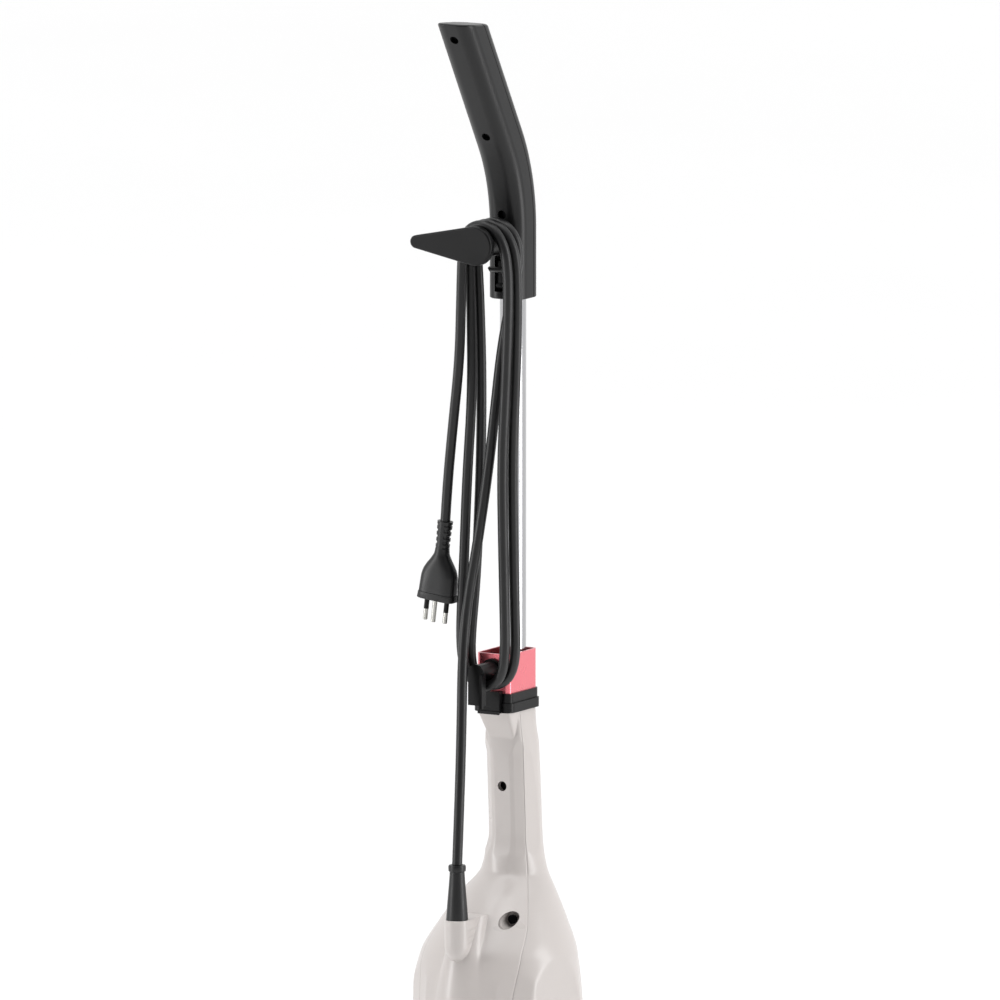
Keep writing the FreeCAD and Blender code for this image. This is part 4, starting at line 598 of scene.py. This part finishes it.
# Strain relief: a tapered PVC sleeve moulded on the flex, seated in the body's socket, with a flange
# round its small end.
turn = np.linspace(0, 2 * np.pi, 48, endpoint=False)
relief = carried("cord_relief", np.array([
    np.stack([r * np.cos(turn), SOCKET_Y + r * np.sin(turn), np.full(48, z)], -1)
    for z, r in ((474.2, 4.0), (474.2, 9.2), (488, 9.2), (500, 8.4), (512, 7.4), (522, 6.6), (528.5, 6.2),
                 (529.2, 7.2), (532.6, 7.4), (534, 7.0), (534.3, 6.2), (534.3, 4.0))]))
# Plasticised PVC, moulded or extruded: black with a soft satin shine.
satin_pvc = surface("satin_black_pvc", "#141415", "#101011", 25, (0.34, 0.44), 1.0, 0.01,
                    **{"Specular IOR Level": 0.42})
relief.data.materials.append(satin_pvc)
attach(relief, "mop_body")
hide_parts("strain_relief")

# Plug: PVC moulded on the flex's end, with a ribbed neck that bends, round shoulders and a rim round
# its face. Two line pins with sleeves and an earth pin stand in it.
PLUG_TOP_MM, PLUG_LEAN = (35.0, 52.0, 815.4), math.radians(6.8)
# Distances below the neck's top: the neck's end, where the rim starts, and the face.
NECK_END, RIM_START, PLUG_END = 27.0, 61.5, 67.0
# Ribs a step apart along the neck, between two distances, and how deep the cuts between them are.
RIB_STEP, RIBS_FROM, RIBS_TO, RIB_CUT = 5.2, 2.6, 23.0, 0.9
# Distance below the neck's top, half width, half thickness and squareness of each section.
PLUG_SECTIONS = np.array([
    (0, 6.6, 6.6, 2), (22, 6.0, 6.0, 2), (27, 6.4, 6.3, 2.1), (32, 8.8, 7.0, 2.3), (37, 12.0, 7.5, 2.7),
    (42, 14.6, 7.8, 3.1), (48, 15.9, 8.0, 3.5), (61.5, 16.4, 8.0, 4), (67, 16.9, 8.4, 4)])
below = np.unique(np.concatenate([np.linspace(0, NECK_END, 109), np.linspace(NECK_END, RIM_START - 0.3, 50),
                                  [RIM_START - 0.2, RIM_START, RIM_START + 0.4, PLUG_END - 0.6, PLUG_END]]))
turn = np.linspace(0, 2 * np.pi, 96, endpoint=False)
half_x, half_y, power = (smooth_through(below, PLUG_SECTIONS, i)[:, None] for i in (1, 2, 3))
wave = np.clip(np.cos(below * 2 * np.pi / RIB_STEP) * 2.5, -RIB_CUT, 0)
ribs = np.where((below > RIBS_FROM) & (below < RIBS_TO), wave, 0)[:, None]
# The ribs are cut only into the neck's two sides, and its front and back stay whole.
ribs = ribs * (np.abs(np.cos(turn)) > 0.5)
groove = np.where(np.abs(below - RIM_START + 0.2) < 0.01, 0.5, 0)
rim = (np.where(below >= RIM_START, 0.5, 0) - groove)[:, None]
rounded = np.where(below > PLUG_END - 0.1, -0.5, 0)[:, None]
reach = reach_oval(turn, half_y, half_x, power) + ribs + rim + rounded
across, deep = reach * np.cos(turn), reach * np.sin(turn)
# The plug hangs leaned by turning its two axes about its top.
c, s = math.cos(PLUG_LEAN), math.sin(PLUG_LEAN)
down = -below[:, None] + 0 * across
plug = carried("plug_moulding", np.stack([PLUG_TOP_MM[0] + c * across - s * down, PLUG_TOP_MM[1] - deep,
                                          PLUG_TOP_MM[2] + s * across + c * down], -1)[::-1])
plug.data.materials.append(satin_pvc)
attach(plug, "mop_body")
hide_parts("plug_body")

wear(black_abs, "plug_pin_sleeves")
# Brass, nickel plated: bright with a warm cast.
nickel_plate = surface("nickel_plated_brass", "#B4B3AF", "#A4A39F", 5, (0.16, 0.24), 0.8, 0.004, Metallic=1.0)
wear(nickel_plate, "plug_pins")

# Mains cord: about 2.4 m of round black PVC flex, hanging from the relief up to the upper hook and
# wound round both hooks before it drops to the plug. Extruded sheath, satin, fairly stiff.
CORD_DIAMETER = 0.0085
CORD_POINTS_MM = (
    (0.0, 93.0, 534.3), (0.6, 88.0, 587.0), (3.6, 79.5, 646.0), (7.8, 70.5, 706.0),
    (7.4, 63.0, 752.0), (1.5, 58.0, 795.0), (-3.4, 53.5, 838.0), (-7.0, 49.0, 879.0),
    (-9.2, 44.0, 920.0), (-11.6, 39.3, 961.0), (-18.0, 35.2, 1003.0), (-24.5, 33.0, 1032.0),
    (-23.2, 33.0, 1053.0), (-11.0, 33.0, 1066.4), (6.6, 33.0, 1066.4), (16.2, 33.0, 1056.6),
    (15.2, 33.0, 1036.0), (12.6, 33.6, 1000.0), (9.4, 35.4, 930.0), (9.3, 38.0, 850.0),
    (12.2, 40.4, 768.0), (16.4, 41.0, 724.0), (17.2, 41.0, 703.0), (14.6, 41.0, 689.5),
    (5.0, 41.0, 678.7), (-10.0, 41.0, 678.9), (-21.5, 41.0, 687.5), (-26.4, 41.0, 706.0),
    (-25.6, 41.0, 738.0), (-24.2, 41.3, 800.0), (-23.8, 42.0, 878.0), (-27.4, 42.6, 940.0),
    (-29.0, 43.0, 1000.0), (-28.0, 43.0, 1036.0), (-22.4, 43.0, 1055.0), (-10.0, 43.0, 1066.6),
    (6.6, 43.0, 1066.4), (16.2, 43.0, 1056.6), (16.2, 43.0, 1036.0), (15.0, 43.4, 1000.0),
    (12.9, 45.0, 926.0), (16.8, 47.8, 850.0), (18.2, 50.0, 782.0), (20.8, 51.0, 730.0),
    (19.8, 51.0, 703.0), (14.8, 51.0, 689.0), (5.0, 51.0, 678.6), (-8.0, 51.0, 679.0),
    (-18.0, 51.0, 688.0), (-21.8, 51.0, 706.0), (-21.4, 51.0, 738.0), (-20.2, 51.5, 795.0),
    (-19.2, 52.0, 866.0), (-23.0, 52.5, 930.0), (-26.0, 53.0, 996.0), (-25.6, 53.0, 1034.0),
    (-20.6, 53.0, 1054.0), (-9.0, 53.0, 1066.4), (6.6, 53.0, 1066.4), (16.4, 53.0, 1056.6),
    (18.2, 53.0, 1038.0), (19.2, 53.0, 1003.0), (20.8, 52.8, 952.0), (27.6, 52.3, 896.0),
    (33.0, 52.0, 846.0), (35.0, 52.0, 815.4),
)
cord_curve = bpy.data.curves.new("mains_flex", "CURVE")
cord_curve.dimensions = "3D"
spline = cord_curve.splines.new("NURBS")
spline.points.add(len(CORD_POINTS_MM) - 1)
for point, place in zip(spline.points, CORD_POINTS_MM):
    point.co = (*(c * MM for c in place), 1)
    point.radius = CORD_DIAMETER / 2
spline.order_u = 3
spline.use_endpoint_u = True
cord_curve.resolution_u = 12
cord_curve.bevel_depth, cord_curve.bevel_resolution = 1.0, 6
cord_curve.use_fill_caps = True
mains_flex = bpy.data.objects.new("mains_flex", cord_curve)
bpy.context.scene.collection.objects.link(mains_flex)
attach(mains_flex, "mop_body")
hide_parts("mains_cord")
mains_flex.data.materials.append(satin_pvc)

low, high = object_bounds()
